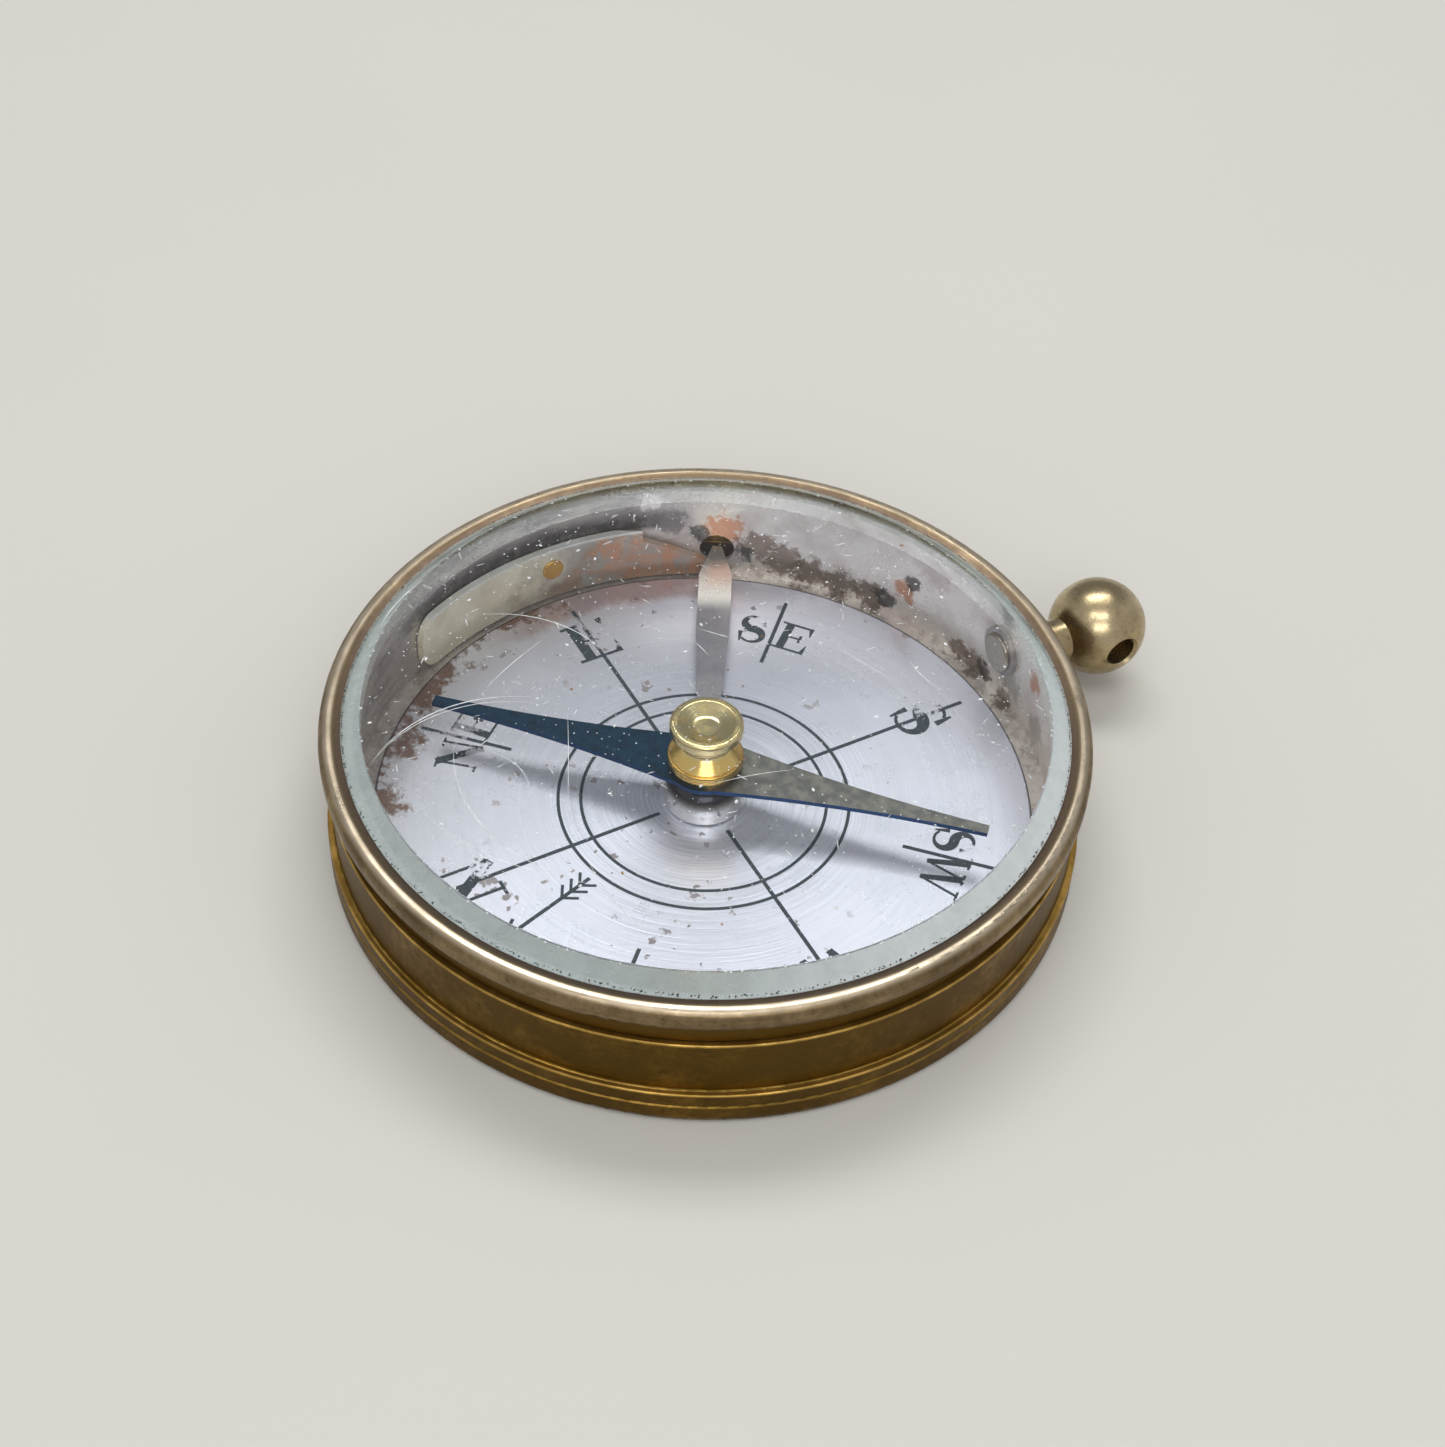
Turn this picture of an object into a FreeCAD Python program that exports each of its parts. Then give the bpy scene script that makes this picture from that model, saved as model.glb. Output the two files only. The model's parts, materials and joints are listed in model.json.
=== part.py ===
import FreeCAD, Part
import math
import os

# Pocket compass with a needle lock, in millimetres.
# +Z is up, the origin is the middle of the flat base, and the pendant ball points along +Y.
# The dial is printed so that its south stands under the pendant.

Vector = FreeCAD.Vector

# ---------------------------------------------------------------- driving dimensions
# case
case_radius = 22.5          # base cup, lower bead and bezel bead share this radius
base_height = 1.5           # outer rim of the base cup
base_floor = 0.55           # thickness of the base cup's floor
base_wall = 0.55            # thickness of the base cup's rim
base_rounding = 0.55        # rounded bottom edge
seam_gap = 0.08             # open seam between base cup and band
lower_bead_height = 0.92    # thick foot of the band, above the seam
band_height = 3.95          # main wall of the band, from ledge to ledge
band_recess = 0.42          # how far the main wall is set in from the bead
band_wall = 0.98            # thickness of the main wall
rim_lip = 0.08              # raised line along the band's upper edge
rim_lip_height = 0.3
spigot_height = 1.3         # neck of the band that the bezel snaps over
edge_rounding = 0.12        # worn outer edges of the band
small_rounding = 0.05       # broken edges of thin rims

# bezel and glass
skirt_recess = 0.25         # the bezel's skirt is set in from the main wall
skirt_wall = 0.35
skirt_gap = 0.05            # the skirt stops this far above the band's ledge
bead_height = 1.5           # height of the rounded bead
bead_rounding = 0.62
crest_width = 0.75          # from the bead's outside to its highest line
lip_thickness = 0.12        # free edge of the lip that grips the glass
lip_grip = 0.33             # how far the lip reaches over the glass
glass_thickness = 1.8
glass_edge = 0.35           # thickness left at the rim, under the bevel
bevel_width = 1.45
ring_height = 0.55          # split spring ring under the glass
ring_width = 0.45
ring_split = 1.2            # open gap in the spring ring

# dial and pivot
dial_edge_gap = 0.72        # open channel between the dial's edge and the lock's strip
dial_thickness = 0.5
post_tail_radius = 0.7      # passes through the dial, riveted over below it
post_rivet_radius = 1.15
post_rivet_depth = 0.25
post_flange_radius = 1.3
post_flange_height = 0.35
post_radius = 0.82
post_height = 2.1           # stem above the dial, up to the foot of its cone
post_cone_height = 0.45
pin_radius = 0.3
pin_seat_depth = 1.9        # length of the pin held inside the post
pin_point_length = 0.9
pin_tip_radius = 0.03

# needle, cap and jewel
needle_clearance = 2.7      # free height between the dial and the needle
needle_length = 34.5
needle_thickness = 0.3
needle_tip_width = 0.66
needle_waist_width = 1.66   # width half way along each arm
needle_hub_radius = 2.35
needle_heading = 225.6      # direction of the blued north end at rest
cap_top_radius = 2.2
cap_top_height = 0.62
cap_dish_radius = 1.75
cap_dish_depth = 0.4
cap_waist_radius = 1.42
cap_flange_radius = 2.28
cap_flange_height = 0.62
cap_foot_radius = 2.02
cap_foot_height = 0.3
cap_groove = 0.14           # turned groove above the flange
cap_tail_radius = 1.25
cap_bore_radius = 0.95
washer_radius = 1.95
washer_thickness = 0.3
jewel_height = 0.8
jewel_cup_radius = 0.5
pivot_play = 0.02           # gap between the pin's point and the jewel's cup

# needle lock
lock_angle = 4.5            # swing of the lock slider, degrees
lock_rise = 0.75            # lift of the lever and the needle over the whole swing
touch_gap = 0.05            # gap between the lever's dome and the needle's washer
glass_gap = 0.05            # gap left between cap and glass when locked
lever_heading = 150.0
lever_thickness = 0.3
lever_inner_width = 1.5
lever_outer_width = 2.16
lever_tip_width = 0.6
lever_root_lift = 0.3       # underside of the lever above the dial, at its dome
lever_tip_lift = 0.95       # underside of the lever above the dial, at its tip
lever_taper_length = 2.7
lever_broad_length = 5.0
dome_radius = 2.4
dome_rounding = 1.4
dome_wall = 0.3
dome_rest_gap = 0.1         # dome to dial
tip_hole_radius = 1.15      # blind hole in the band for the lever's tip
tip_hole_depth = 0.75
tip_end_clearance = 0.2
wedge_thickness = 0.45
wedge_floor_gap = 0.2
wedge_height = 3.95
wedge_end_rounding = 1.5
wedge_tail_sweep = 61.5     # from the lever's heading to the rounded tail, degrees
wedge_nose_sweep = 1.2      # from the lever's heading to the thin nose, degrees
ramp_clearance = 0.12       # lever to ramp
button_sweep = 31.0         # from the lever's heading to the thumb button, degrees
button_stem_radius = 0.5
button_rivet_radius = 0.72
button_rivet_height = 0.14
button_radius = 1.5
button_height = 1.5
button_rounding = 0.45
button_side_gap = 0.2       # button to the case's lower bead
slot_ligament = 0.06        # wall left between the slot and the lower ledge

# pendant
ball_radius = 3.1
ball_reach = 5.8            # from the case radius to the ball's centre
neck_radius = 1.4
collar_radius = 1.6
collar_thickness = 0.85
tenon_radius = 0.9
ring_hole_radius = 1.0      # cross hole for a ring or lanyard
ring_hole_chamfer = 0.25
pendant_washer_radius = 1.6
pendant_washer_thickness = 0.35
pendant_rivet_radius = 1.25
pendant_rivet_height = 0.25

# fits
fit = 0.03                  # radial gap between seated pieces
running = 0.05              # radial gap of pieces that slide or turn
press = 0.01                # radial gap drawn for pressed pieces

# ---------------------------------------------------------------- derived places
shoulder_z = base_height + seam_gap
ledge_low_z = shoulder_z + lower_bead_height
ledge_high_z = ledge_low_z + band_height
spigot_top_z = ledge_high_z + spigot_height
glass_bottom_z = spigot_top_z + ring_height
glass_rim_z = glass_bottom_z + glass_edge
glass_top_z = glass_bottom_z + glass_thickness

band_radius = case_radius - band_recess
inner_radius = band_radius - band_wall
skirt_radius = band_radius - skirt_recess
bezel_bore = skirt_radius - skirt_wall
spigot_radius = bezel_bore - fit
glass_radius = bezel_bore - fit
bevel_slope = (glass_thickness - glass_edge) / bevel_width

dial_top_z = base_floor + dial_thickness
needle_bottom_z = dial_top_z + needle_clearance
needle_top_z = needle_bottom_z + needle_thickness
cap_top_z = glass_bottom_z - lock_rise - glass_gap
washer_bottom_z = needle_bottom_z - washer_thickness
cap_roof_z = cap_top_z - cap_dish_depth - 0.5 * cap_dish_depth
jewel_top_z = cap_roof_z
jewel_bottom_z = jewel_top_z - jewel_height
jewel_cup_z = jewel_bottom_z + 0.65 * jewel_height
pin_tip_z = jewel_cup_z - pivot_play

post_top_z = dial_top_z + post_height + post_cone_height
dome_top_z = washer_bottom_z - touch_gap
dome_bottom_z = dial_top_z + dome_rest_gap
dome_hole = post_radius + 2 * running

wedge_outer = inner_radius - running - fit
wedge_inner = wedge_outer - wedge_thickness
wedge_bottom_z = base_floor + wedge_floor_gap
dial_radius = wedge_inner - dial_edge_gap
wedge_top_z = wedge_bottom_z + wedge_height
tip_hole_z = dial_top_z + lever_tip_lift + 0.5 * (lever_thickness + lock_rise)
tip_hole_end = inner_radius + tip_hole_depth
lever_tip = tip_hole_end - tip_end_clearance

slot_half_width = button_stem_radius + running
button_z = ledge_low_z + slot_ligament + slot_half_width
button_heading = lever_heading + button_sweep

ball_y = case_radius + ball_reach
pendant_z = 0.5 * (ledge_low_z + ledge_high_z)


# ---------------------------------------------------------------- shared shapes
def own_share(own, other):
    """Share of the side between two corners that the rounding of the first may take."""
    return own / (own + other) if own + other > 0 else 0.0


def rounded_wire(corners):
    """Closed wire in the XZ plane through (x, z, rounding) corners, each rounded by a tangent arc."""
    points = [Vector(c[0], 0, c[1]) for c in corners]
    radii = [c[2] if len(c) > 2 else 0.0 for c in corners]
    count = len(points)
    entry = []
    leave = []
    middle = []
    for i in range(count):
        here = points[i]
        following = (i + 1) % count
        before = points[i - 1] - here
        after = points[following] - here
        room = 0.98 * min(
            before.Length * own_share(radii[i], radii[i - 1]),
            after.Length * own_share(radii[i], radii[following]))
        before.normalize()
        after.normalize()
        half = 0.5 * before.getAngle(after)
        radius = min(radii[i], room * math.tan(half))
        reach = radius / math.tan(half) if radius > 0 else 0.0
        entry.append(here + before * reach)
        leave.append(here + after * reach)
        bisector = before + after
        if radius > 0:
            bisector.normalize()
            middle.append(here + bisector * (radius / math.sin(half) - radius))
        else:
            middle.append(None)
    edges = []
    for i in range(count):
        if middle[i] is not None:
            edges.append(Part.Arc(entry[i], middle[i], leave[i]).toShape())
        following = (i + 1) % count
        if leave[i].distanceToPoint(entry[following]) > 1e-6:
            edges.append(Part.LineSegment(leave[i], entry[following]).toShape())
    return Part.Wire(edges)


def turned(corners):
    """Solid of revolution about Z from (radius, height, rounding) corners."""
    face = Part.Face(rounded_wire(corners))
    return face.revolve(Vector(0, 0, 0), Vector(0, 0, 1), 360)


def radial_rod(radius, start, end, heading, height):
    """Round rod along a horizontal radius of the case."""
    angle = math.radians(heading)
    outward = Vector(math.cos(angle), math.sin(angle), 0)
    return Part.makeCylinder(radius, end - start, outward * start + Vector(0, 0, height), outward)


def to_heading(shape, heading):
    """Turns a shape that was built along +X to a heading about the case's axis."""
    shape.rotate(Vector(0, 0, 0), Vector(0, 0, 1), heading)
    return shape


def sector(inner, outer, bottom, top, start, sweep):
    """Curved wall: part of a tube about Z."""
    tube = Part.makeCylinder(outer, top - bottom, Vector(0, 0, bottom), Vector(0, 0, 1), sweep)
    tube = tube.cut(Part.makeCylinder(inner, top - bottom, Vector(0, 0, bottom)))
    return to_heading(tube, start)


# ---------------------------------------------------------------- case
def make_base_cup():
    rim = case_radius - base_wall
    return turned([
        (0, 0),
        (case_radius, 0, base_rounding),
        (case_radius, base_height, edge_rounding),
        (rim, base_height, small_rounding),
        (rim, base_floor),
        (0, base_floor),
    ])


def make_case_band():
    foot = case_radius - base_wall - fit
    band = turned([
        (inner_radius, base_floor),
        (foot, base_floor),
        (foot, shoulder_z),
        (case_radius, shoulder_z, edge_rounding),
        (case_radius, ledge_low_z, edge_rounding),
        (band_radius, ledge_low_z, edge_rounding),
        (band_radius, ledge_high_z - rim_lip_height),
        (band_radius + rim_lip, ledge_high_z - rim_lip_height, small_rounding),
        (band_radius + rim_lip, ledge_high_z, edge_rounding),
        (spigot_radius, ledge_high_z),
        (spigot_radius, spigot_top_z, small_rounding),
        (inner_radius, spigot_top_z, small_rounding),
    ])
    blind = 0.5 * inner_radius
    band = band.cut(radial_rod(tip_hole_radius, blind, tip_hole_end, lever_heading, tip_hole_z))
    band = band.cut(lock_slot())
    return band.cut(radial_rod(tenon_radius + press, blind, case_radius, 90, pendant_z))


def lock_slot():
    start = wedge_outer
    end = case_radius + running
    first = button_heading - lock_angle
    slot = sector(start, end, button_z - slot_half_width, button_z + slot_half_width, first, lock_angle)
    for heading in (first, button_heading):
        slot = slot.fuse(radial_rod(slot_half_width, start, end, heading, button_z))
    return slot


# ---------------------------------------------------------------- bezel and glass
def make_bezel_ring():
    bottom = ledge_high_z + skirt_gap
    crest = glass_rim_z + 0.5 * bead_height
    bead_bottom = glass_rim_z - 0.5 * bead_height
    lip_radius = glass_radius - lip_grip
    lip_under = glass_rim_z + fit + lip_grip * bevel_slope
    return turned([
        (bezel_bore, bottom),
        (skirt_radius, bottom, small_rounding),
        (skirt_radius, bead_bottom, edge_rounding),
        (case_radius, bead_bottom, bead_rounding),
        (case_radius, crest, bead_rounding),
        (case_radius - crest_width, crest, edge_rounding),
        (lip_radius, lip_under + lip_thickness, small_rounding),
        (lip_radius, lip_under),
        (bezel_bore, glass_rim_z + fit - fit * bevel_slope),
    ])


def make_crystal():
    return turned([
        (0, glass_bottom_z),
        (glass_radius, glass_bottom_z, small_rounding),
        (glass_radius, glass_rim_z, small_rounding),
        (glass_radius - bevel_width, glass_top_z, small_rounding),
        (0, glass_top_z),
    ])


def make_crystal_spring_ring():
    ring = turned([
        (glass_radius - ring_width, spigot_top_z, small_rounding),
        (glass_radius, spigot_top_z, small_rounding),
        (glass_radius, glass_bottom_z, small_rounding),
        (glass_radius - ring_width, glass_bottom_z, small_rounding),
    ])
    gap = Part.makeBox(2 * ring_width, ring_split, 2 * ring_height)
    gap.translate(Vector(glass_radius - 1.5 * ring_width, -0.5 * ring_split, spigot_top_z - 0.5 * ring_height))
    return ring.cut(to_heading(gap, needle_heading))


# ---------------------------------------------------------------- dial and pivot
def make_dial_plate():
    hole = post_tail_radius + fit
    return turned([
        (post_rivet_radius + fit, base_floor),
        (dial_radius, base_floor),
        (dial_radius, dial_top_z, small_rounding),
        (hole, dial_top_z),
        (hole, base_floor + post_rivet_depth),
    ])


def make_pivot_post():
    flange_z = dial_top_z + post_flange_height
    cone_z = dial_top_z + post_height
    bore = pin_radius + press
    seat_z = post_top_z - pin_seat_depth
    post = turned([
        (0, base_floor),
        (post_rivet_radius, base_floor),
        (post_tail_radius, base_floor + post_rivet_depth),
        (post_tail_radius, dial_top_z),
        (post_flange_radius, dial_top_z),
        (post_flange_radius, flange_z, edge_rounding),
        (post_radius, flange_z),
        (post_radius, cone_z),
        (bore + edge_rounding, post_top_z),
        (0, post_top_z),
    ])
    return post.cut(Part.makeCylinder(bore, post_height + pin_seat_depth, Vector(0, 0, seat_z)))


def make_pivot_pin():
    seat_z = post_top_z - pin_seat_depth
    return turned([
        (0, seat_z),
        (pin_radius, seat_z),
        (pin_radius, pin_tip_z - pin_point_length),
        (pin_tip_radius, pin_tip_z),
        (0, pin_tip_z),
    ])


# ---------------------------------------------------------------- needle
def make_needle_blade():
    reach = 0.5 * needle_length
    shoulder = 0.5 * needle_hub_radius
    root = math.sqrt(needle_hub_radius ** 2 - shoulder ** 2)
    middle = 0.5 * (reach + shoulder)
    tip_half = 0.5 * needle_tip_width
    waist_half = 0.5 * needle_waist_width
    upper = Part.Arc(Vector(shoulder, root, 0), Vector(middle, waist_half, 0), Vector(reach, tip_half, 0))
    lower = Part.Arc(Vector(reach, -tip_half, 0), Vector(middle, -waist_half, 0), Vector(shoulder, -root, 0))
    tip = Part.LineSegment(Vector(reach, tip_half, 0), Vector(reach, -tip_half, 0))
    back = Part.LineSegment(Vector(shoulder, -root, 0), Vector(shoulder, root, 0))
    outline = Part.Wire([upper.toShape(), tip.toShape(), lower.toShape(), back.toShape()])
    arm = Part.Face(outline).extrude(Vector(0, 0, needle_thickness))
    other = arm.copy()
    other.rotate(Vector(0, 0, 0), Vector(0, 0, 1), 180)
    hub = Part.makeCylinder(needle_hub_radius, needle_thickness)
    blade = hub.fuse([arm, other]).removeSplitter()
    blade = blade.cut(Part.makeCylinder(cap_tail_radius + press, needle_thickness))
    blade.translate(Vector(0, 0, needle_bottom_z))
    return to_heading(blade, needle_heading)


def make_needle_cap():
    foot_z = needle_top_z + cap_foot_height
    flange_z = foot_z + cap_flange_height
    groove_z = flange_z + cap_groove
    neck_z = cap_top_z - cap_top_height
    waist_z = 0.5 * (groove_z + neck_z)
    return turned([
        (cap_bore_radius, washer_bottom_z),
        (cap_tail_radius, washer_bottom_z),
        (cap_tail_radius, needle_top_z),
        (cap_foot_radius, needle_top_z),
        (cap_foot_radius, foot_z),
        (cap_flange_radius, foot_z, edge_rounding),
        (cap_flange_radius, flange_z, edge_rounding),
        (cap_flange_radius - cap_groove, flange_z),
        (cap_flange_radius - cap_groove, groove_z),
        (cap_waist_radius, waist_z - cap_groove, 0.5 * cap_waist_radius),
        (cap_waist_radius, waist_z + cap_groove, 0.5 * cap_waist_radius),
        (cap_top_radius, neck_z, edge_rounding),
        (cap_top_radius, cap_top_z, 2 * edge_rounding),
        (cap_dish_radius, cap_top_z, edge_rounding),
        (0.45 * cap_dish_radius, cap_top_z - cap_dish_depth, 0.3 * cap_dish_radius),
        (0, cap_top_z - cap_dish_depth),
        (0, cap_roof_z),
        (cap_bore_radius, cap_roof_z),
    ])


def make_cap_jewel():
    outer = cap_bore_radius - press
    return turned([
        (jewel_cup_radius, jewel_bottom_z, small_rounding),
        (outer, jewel_bottom_z, small_rounding),
        (outer, jewel_top_z),
        (0, jewel_top_z),
        (0, jewel_cup_z),
        (pin_tip_radius + pivot_play, jewel_cup_z),
    ])


def make_cap_washer():
    inner = cap_tail_radius + press
    return turned([
        (inner, washer_bottom_z),
        (washer_radius, washer_bottom_z, edge_rounding),
        (washer_radius, needle_bottom_z),
        (inner, needle_bottom_z),
    ])


# ---------------------------------------------------------------- needle lock
def lever_underside(radius):
    """Height of the lever's underside at a radius, before it is lifted."""
    share = (radius - dome_radius) / (lever_tip - dome_radius)
    return dial_top_z + lever_root_lift + share * (lever_tip_lift - lever_root_lift)


def lever_half_width(radius):
    """Half width of the lever in its tapered outer end."""
    share = (lever_tip - radius) / lever_taper_length
    return 0.5 * (lever_tip_width + share * (lever_outer_width - lever_tip_width))


def make_lift_lever():
    root = dome_radius - 0.5 * dome_wall
    taper = lever_tip - lever_taper_length
    broad = taper - lever_broad_length
    stations = [
        (root, 0.5 * lever_inner_width),
        (0.5 * (root + broad), 0.5 * lever_inner_width),
        (broad, 0.5 * lever_outer_width),
        (taper, 0.5 * lever_outer_width),
        (lever_tip, 0.5 * lever_tip_width),
    ]
    left = [Vector(x, half, 0) for x, half in stations]
    right = [Vector(x, -half, 0) for x, half in reversed(stations)]
    plan = Part.makePolygon(left + right + left[:1])
    strip = Part.Face(plan).extrude(Vector(0, 0, lever_thickness))
    slope = math.degrees(math.atan2(lever_tip_lift - lever_root_lift, lever_tip - dome_radius))
    strip.rotate(Vector(root, 0, 0), Vector(0, 1, 0), -slope)
    strip.translate(Vector(0, 0, lever_underside(root)))
    dome = turned([
        (dome_radius - dome_wall, dome_bottom_z),
        (dome_radius, dome_bottom_z, small_rounding),
        (dome_radius, dome_top_z, dome_rounding),
        (dome_hole, dome_top_z, small_rounding),
        (dome_hole, dome_top_z - dome_wall),
        (dome_radius - dome_wall, dome_top_z - dome_wall, dome_rounding - dome_wall),
    ])
    return to_heading(dome.fuse(strip).removeSplitter(), lever_heading)


def make_lock_wedge():
    tail = lever_heading + wedge_tail_sweep
    nose = lever_heading + wedge_nose_sweep
    wedge = sector(wedge_inner, wedge_outer, wedge_bottom_z, wedge_top_z, nose, tail - nose)
    ends = []
    for edge in wedge.Edges:
        middle = edge.CenterOfMass
        heading = math.degrees(math.atan2(middle.y, middle.x)) % 360
        if abs(heading - tail) < 0.1 and edge.Length < 1.5 * wedge_thickness:
            ends.append(edge)
    rounding = min(wedge_end_rounding, 0.45 * wedge_height)
    wedge = wedge.makeFillet(rounding, ends)
    wedge = wedge.cut(ramp_cutter())
    hole = radial_rod(button_stem_radius + press, wedge_inner - 1, wedge_outer + 1, button_heading, button_z)
    return wedge.cut(hole)


def ramp_cutter():
    """Half space above the ramp: it climbs by lock_rise while the slider turns by lock_angle."""
    radius = wedge_inner
    slope = lock_rise / (radius * math.radians(lock_angle))
    edge = lever_heading + math.degrees(lever_half_width(radius) / radius)
    contact_z = lever_underside(radius) - ramp_clearance
    size = 4 * wedge_height / slope
    block = Part.makeBox(3 * wedge_thickness, size, size)
    block.translate(Vector(wedge_inner - wedge_thickness, -0.5 * size, 0))
    block.rotate(Vector(0, 0, 0), Vector(1, 0, 0), math.degrees(math.atan(slope)))
    block.translate(Vector(0, 0, contact_z))
    return to_heading(block, edge)


def make_lock_button():
    head = case_radius + button_side_gap
    rivet = wedge_inner - button_rivet_height
    button = turned([
        (0, rivet),
        (button_rivet_radius, rivet, 0.5 * button_rivet_height),
        (button_rivet_radius, wedge_inner - press),
        (button_stem_radius, wedge_inner - press),
        (button_stem_radius, head),
        (button_radius, head, edge_rounding),
        (button_radius, head + button_height, button_rounding),
        (0, head + button_height),
    ])
    button.rotate(Vector(0, 0, 0), Vector(0, 1, 0), 90)
    button.translate(Vector(0, 0, button_z))
    return to_heading(button, button_heading)


# ---------------------------------------------------------------- pendant
def along_pendant(shape):
    """Lays a shape that was turned about Z along the pendant's axis."""
    shape.rotate(Vector(0, 0, 0), Vector(1, 0, 0), -90)
    shape.translate(Vector(0, 0, pendant_z))
    return shape


def make_pendant_ball():
    collar_end = band_radius + collar_thickness
    washer_face = inner_radius - fit - pendant_washer_thickness
    rivet_end = washer_face - pendant_rivet_height
    stem = turned([
        (0, rivet_end),
        (pendant_rivet_radius, rivet_end, 0.6 * pendant_rivet_height),
        (pendant_rivet_radius, washer_face),
        (tenon_radius, washer_face),
        (tenon_radius, collar_end),
        (neck_radius, collar_end),
        (neck_radius, ball_y),
        (0, ball_y),
    ])
    pendant = along_pendant(stem).fuse(Part.makeSphere(ball_radius, Vector(0, ball_y, pendant_z)))
    mouth = math.sqrt(ball_radius ** 2 - ring_hole_radius ** 2)
    pendant = pendant.cut(Part.makeCylinder(
        ring_hole_radius, 2 * ball_radius, Vector(-ball_radius, ball_y, pendant_z), Vector(1, 0, 0)))
    for side in (-1, 1):
        base = Vector(side * mouth, ball_y, pendant_z)
        inward = Vector(-side, 0, 0)
        wide = ring_hole_radius + ring_hole_chamfer
        cone = Part.makeCone(wide, ring_hole_radius, ring_hole_chamfer, base, inward)
        pendant = pendant.cut(cone)
    return pendant


def make_pendant_collar():
    collar = along_pendant(turned([
        (tenon_radius + press, inner_radius),
        (collar_radius, inner_radius),
        (collar_radius, band_radius + collar_thickness, 2 * edge_rounding),
        (tenon_radius + press, band_radius + collar_thickness),
    ]))
    return collar.cut(Part.makeCylinder(band_radius + press, ledge_high_z))


def make_pendant_washer():
    washer = along_pendant(turned([
        (tenon_radius + press, inner_radius - fit - pendant_washer_thickness),
        (pendant_washer_radius, inner_radius - fit - pendant_washer_thickness, small_rounding),
        (pendant_washer_radius, inner_radius + fit),
        (tenon_radius + press, inner_radius + fit),
    ]))
    return washer.common(Part.makeCylinder(inner_radius - press, ledge_high_z))


# ---------------------------------------------------------------- export
pieces = {
    "base_cup": make_base_cup,
    "case_band": make_case_band,
    "bezel_ring": make_bezel_ring,
    "crystal": make_crystal,
    "crystal_spring_ring": make_crystal_spring_ring,
    "dial_plate": make_dial_plate,
    "pivot_post": make_pivot_post,
    "pivot_pin": make_pivot_pin,
    "needle_blade": make_needle_blade,
    "needle_cap": make_needle_cap,
    "cap_jewel": make_cap_jewel,
    "cap_washer": make_cap_washer,
    "lift_lever": make_lift_lever,
    "lock_wedge": make_lock_wedge,
    "lock_button": make_lock_button,
    "pendant_ball": make_pendant_ball,
    "pendant_collar": make_pendant_collar,
    "pendant_washer": make_pendant_washer,
}

os.makedirs("parts", exist_ok=True)
for name, make in pieces.items():
    shape = make()
    shape.exportStep("parts/" + name + ".step")
    box = shape.BoundBox
    print(f"{name:20s} solids {len(shape.Solids)} valid {shape.isValid()} volume {shape.Volume:8.2f} "
          f"z {box.ZMin:.2f}..{box.ZMax:.2f}")
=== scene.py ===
import json
import math

import bmesh
import bpy
from mathutils import Matrix, Vector


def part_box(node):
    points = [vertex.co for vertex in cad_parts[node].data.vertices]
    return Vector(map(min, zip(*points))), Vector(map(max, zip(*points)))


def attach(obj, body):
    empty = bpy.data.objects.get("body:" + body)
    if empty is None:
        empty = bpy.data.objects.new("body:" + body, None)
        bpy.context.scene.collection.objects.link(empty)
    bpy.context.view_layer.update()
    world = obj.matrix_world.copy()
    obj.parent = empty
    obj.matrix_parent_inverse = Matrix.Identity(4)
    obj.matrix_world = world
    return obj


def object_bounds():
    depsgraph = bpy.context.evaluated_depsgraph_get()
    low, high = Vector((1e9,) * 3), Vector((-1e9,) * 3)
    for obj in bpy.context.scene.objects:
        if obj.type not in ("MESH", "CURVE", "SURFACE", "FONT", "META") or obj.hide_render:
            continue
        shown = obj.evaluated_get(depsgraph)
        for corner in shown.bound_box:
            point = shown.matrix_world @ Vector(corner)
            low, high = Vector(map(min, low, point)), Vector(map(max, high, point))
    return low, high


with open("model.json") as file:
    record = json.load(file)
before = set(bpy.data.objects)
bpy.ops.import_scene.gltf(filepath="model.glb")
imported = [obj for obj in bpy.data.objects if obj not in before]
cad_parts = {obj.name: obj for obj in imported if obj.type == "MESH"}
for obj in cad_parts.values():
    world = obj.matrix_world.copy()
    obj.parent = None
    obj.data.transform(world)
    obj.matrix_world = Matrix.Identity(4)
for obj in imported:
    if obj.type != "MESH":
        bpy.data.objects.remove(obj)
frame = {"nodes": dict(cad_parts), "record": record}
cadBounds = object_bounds()
nodes = frame["nodes"]
print("frame loaded,", len(nodes), "parts of the compass")

mm = 0.001  # sizes below are in millimetres and are scaled as they are used


# small helpers for colours, directions and node trees

def tone(red, green, blue, alpha=1.0):
    # a colour given as a paint chart gives it, 0 to 255, turned into the linear value that nodes use
    def linear(value):
        share = value / 255
        return share / 12.92 if share <= 0.04045 else ((share + 0.055) / 1.055) ** 2.4
    return (linear(red), linear(green), linear(blue), alpha)


def directionOf(azimuth, elevation):
    flat = math.cos(math.radians(elevation))
    return Vector((flat * math.cos(math.radians(azimuth)), flat * math.sin(math.radians(azimuth)),
                   math.sin(math.radians(elevation))))


def feed(tree, value, socket):
    # an output is linked, anything else is written into the socket
    if isinstance(value, bpy.types.NodeSocket):
        tree.links.new(value, socket)
    else:
        socket.default_value = value


def makeNode(tree, kind, inputs=(), **settings):
    # inputs are given by name or by number
    node = tree.nodes.new(kind)
    for name, value in settings.items():
        setattr(node, name, value)
    for socket, value in dict(inputs).items():
        feed(tree, value, node.inputs[socket])
    return node


def addNode(tree, kind, inputs=(), **settings):
    return makeNode(tree, "ShaderNode" + kind, inputs, **settings)


def calc(tree, operation, a, b=0.0, clamp=False):
    return addNode(tree, "Math", {0: a, 1: b}, operation=operation, use_clamp=clamp).outputs[0]


def times(tree, a, b):
    return calc(tree, "MULTIPLY", a, b)


def plus(tree, a, b):
    return calc(tree, "ADD", a, b)


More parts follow.
